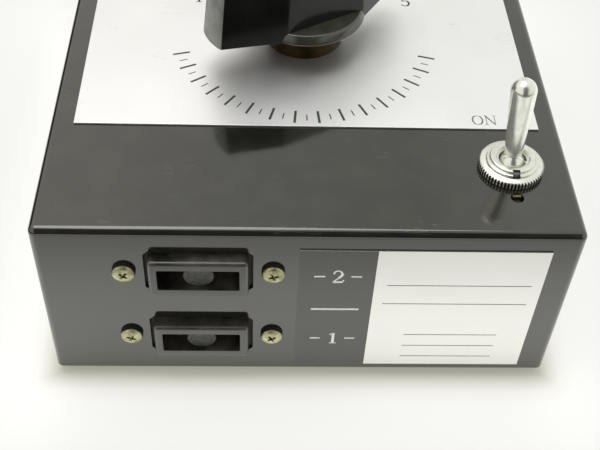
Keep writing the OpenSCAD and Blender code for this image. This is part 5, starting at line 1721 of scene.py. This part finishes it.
    def in_groove(self, place: Vector) -> bool:
        """Tells whether a point of the nut's ring lies at the foot of a knurl.

        Args:
            place: the point in millimetres from the nut's foot.

        Returns:
            Whether it does.
        """
        step = 2 * math.pi / (3 * self.knurls)
        on_foot = round(math.atan2(place.y, place.x) / step) % 3 == 2
        return math.hypot(place.x, place.y) > self.ring - 0.4 and on_foot and 0.1 < place.z < 2.0


# ---- The back ----


@dataclass
class BackFittings:
    """The fuse holder's cap and the cord's grommet."""

    cap: float = 6.7
    stem: float = 4.55
    proud: float = 10.5
    stem_end: float = -6.5
    seat: float = 1.55
    ribs: int = 30
    rib_in: float = 0.955
    fuse_bore: float = 3.3
    fuse_stop: float = -3.7
    grommet: tuple[float, float, float] = (4.0, 6.0, 7.5)
    grommet_inner: float = -5.25
    grommet_outer: float = 3.25
    sheet: float = 1.25
    shop: FinishShop = field(default_factory=FinishShop)

    def build(self) -> None:
        """Makes both fittings."""
        back = box_mm("case_shell")[1].y
        fuse = axis_mm("fuse_cap_turn")
        cap = moved(self.cap_piece(), (fuse.x, back, fuse.z), (-90, 0, 0))
        self.shop.dress(cap, "fuse_plastic", "fuse_carrier", "fuse_cap")
        low, high = box_mm("cord_grommet")
        at = ((low.x + high.x) / 2, back, (low.z + high.z) / 2)
        self.shop.dress(moved(self.grommet_piece(), at, (-90, 0, 0)), "grommet_rubber", "case", "cord_grommet")

    def cap_piece(self) -> Piece:
        """Turns the ribbed cap with its stem, the fuse's bore and a coin slot.

        Returns:
            The cap about the origin, facing +Z.
        """
        r, stem, end, seat = self.cap, self.stem, self.stem_end, self.seat
        rings = [
            (stem - 0.3, end), (stem, end + 0.4), (stem, seat), (r - 0.3, seat), (r, seat + 0.3), (r, 2.6), (r, 8.4),
            (r - 0.15, 9.2), (r - 0.6, 10.1), (r - 1.1, self.proud), (0, self.proud),
        ]
        cap = turned("fuse_cap_ribbed", rings, 4 * self.ribs)
        with shaping(cap, Pick.POINTS):
            pick_points(cap, self.between_ribs)
            swell(self.rib_in, self.rib_in, 1)
        worked(cap, barrel("drill", self.fuse_bore, (0, 0, end - 1), (0, 0, self.fuse_stop), 48))
        worked(cap, block("slot", (-8, -0.8, self.proud - 1.8), (8, 0.8, self.proud + 1)))
        return polished(eased(cap, 0.08, 1, 50), 30)

    def between_ribs(self, place: Vector) -> bool:
        """Tells whether a point of the cap's side lies between two ribs.

        Args:
            place: the point in millimetres from the cap's seat.

        Returns:
            Whether it does.
        """
        pitch = 2 * math.pi / self.ribs
        outside = math.hypot(place.x, place.y) > self.cap - 0.05 and 2.4 < place.z < 8.6
        return outside and (math.atan2(place.y, place.x) / pitch) % 1 > 0.49

    def grommet_piece(self) -> Piece:
        """Turns the grommet with two rounded rims and a neck for the sheet.

        Returns:
            The grommet about the origin, facing +Z.
        """
        bore, neck, rim = self.grommet
        inner, outer, sheet = self.grommet_inner, self.grommet_outer, self.sheet
        rings = [
            (bore + 0.4, inner), (rim - 1.6, inner), (rim - 0.6, inner + 0.4), (rim, inner + 1.3), (rim, -sheet - 0.3),
            (rim - 0.3, -sheet), (neck, -sheet), (neck, 0.05), (rim - 0.3, 0.05), (rim, 0.35), (rim, outer - 1.3),
            (rim - 0.35, outer - 0.55), (rim - 1.1, outer - 0.1), (rim - 1.9, outer), (bore + 0.6, outer),
            (bore + 0.15, outer - 0.2), (bore, outer - 0.7), (bore, inner + 0.5),
        ]
        return polished(turned("cord_grommet_moulded", rings, 72, Ends.JOINED), 50)


def main() -> None:
    """Builds the scene from the studio to the smallest piece."""
    logging.basicConfig(level=logging.INFO, format="%(name)s: %(message)s")
    Studio().build()
    shop = FinishShop()
    shop.dress_nodes()
    parts = (Case, DialPlate, FrontPlate, Outlets, Knob, Toggle, BackFittings)
    for part in (make(shop=shop) for make in parts):
        log.info("building %s", type(part).__name__)
        part.build()


if __name__ == "__main__":
    main()
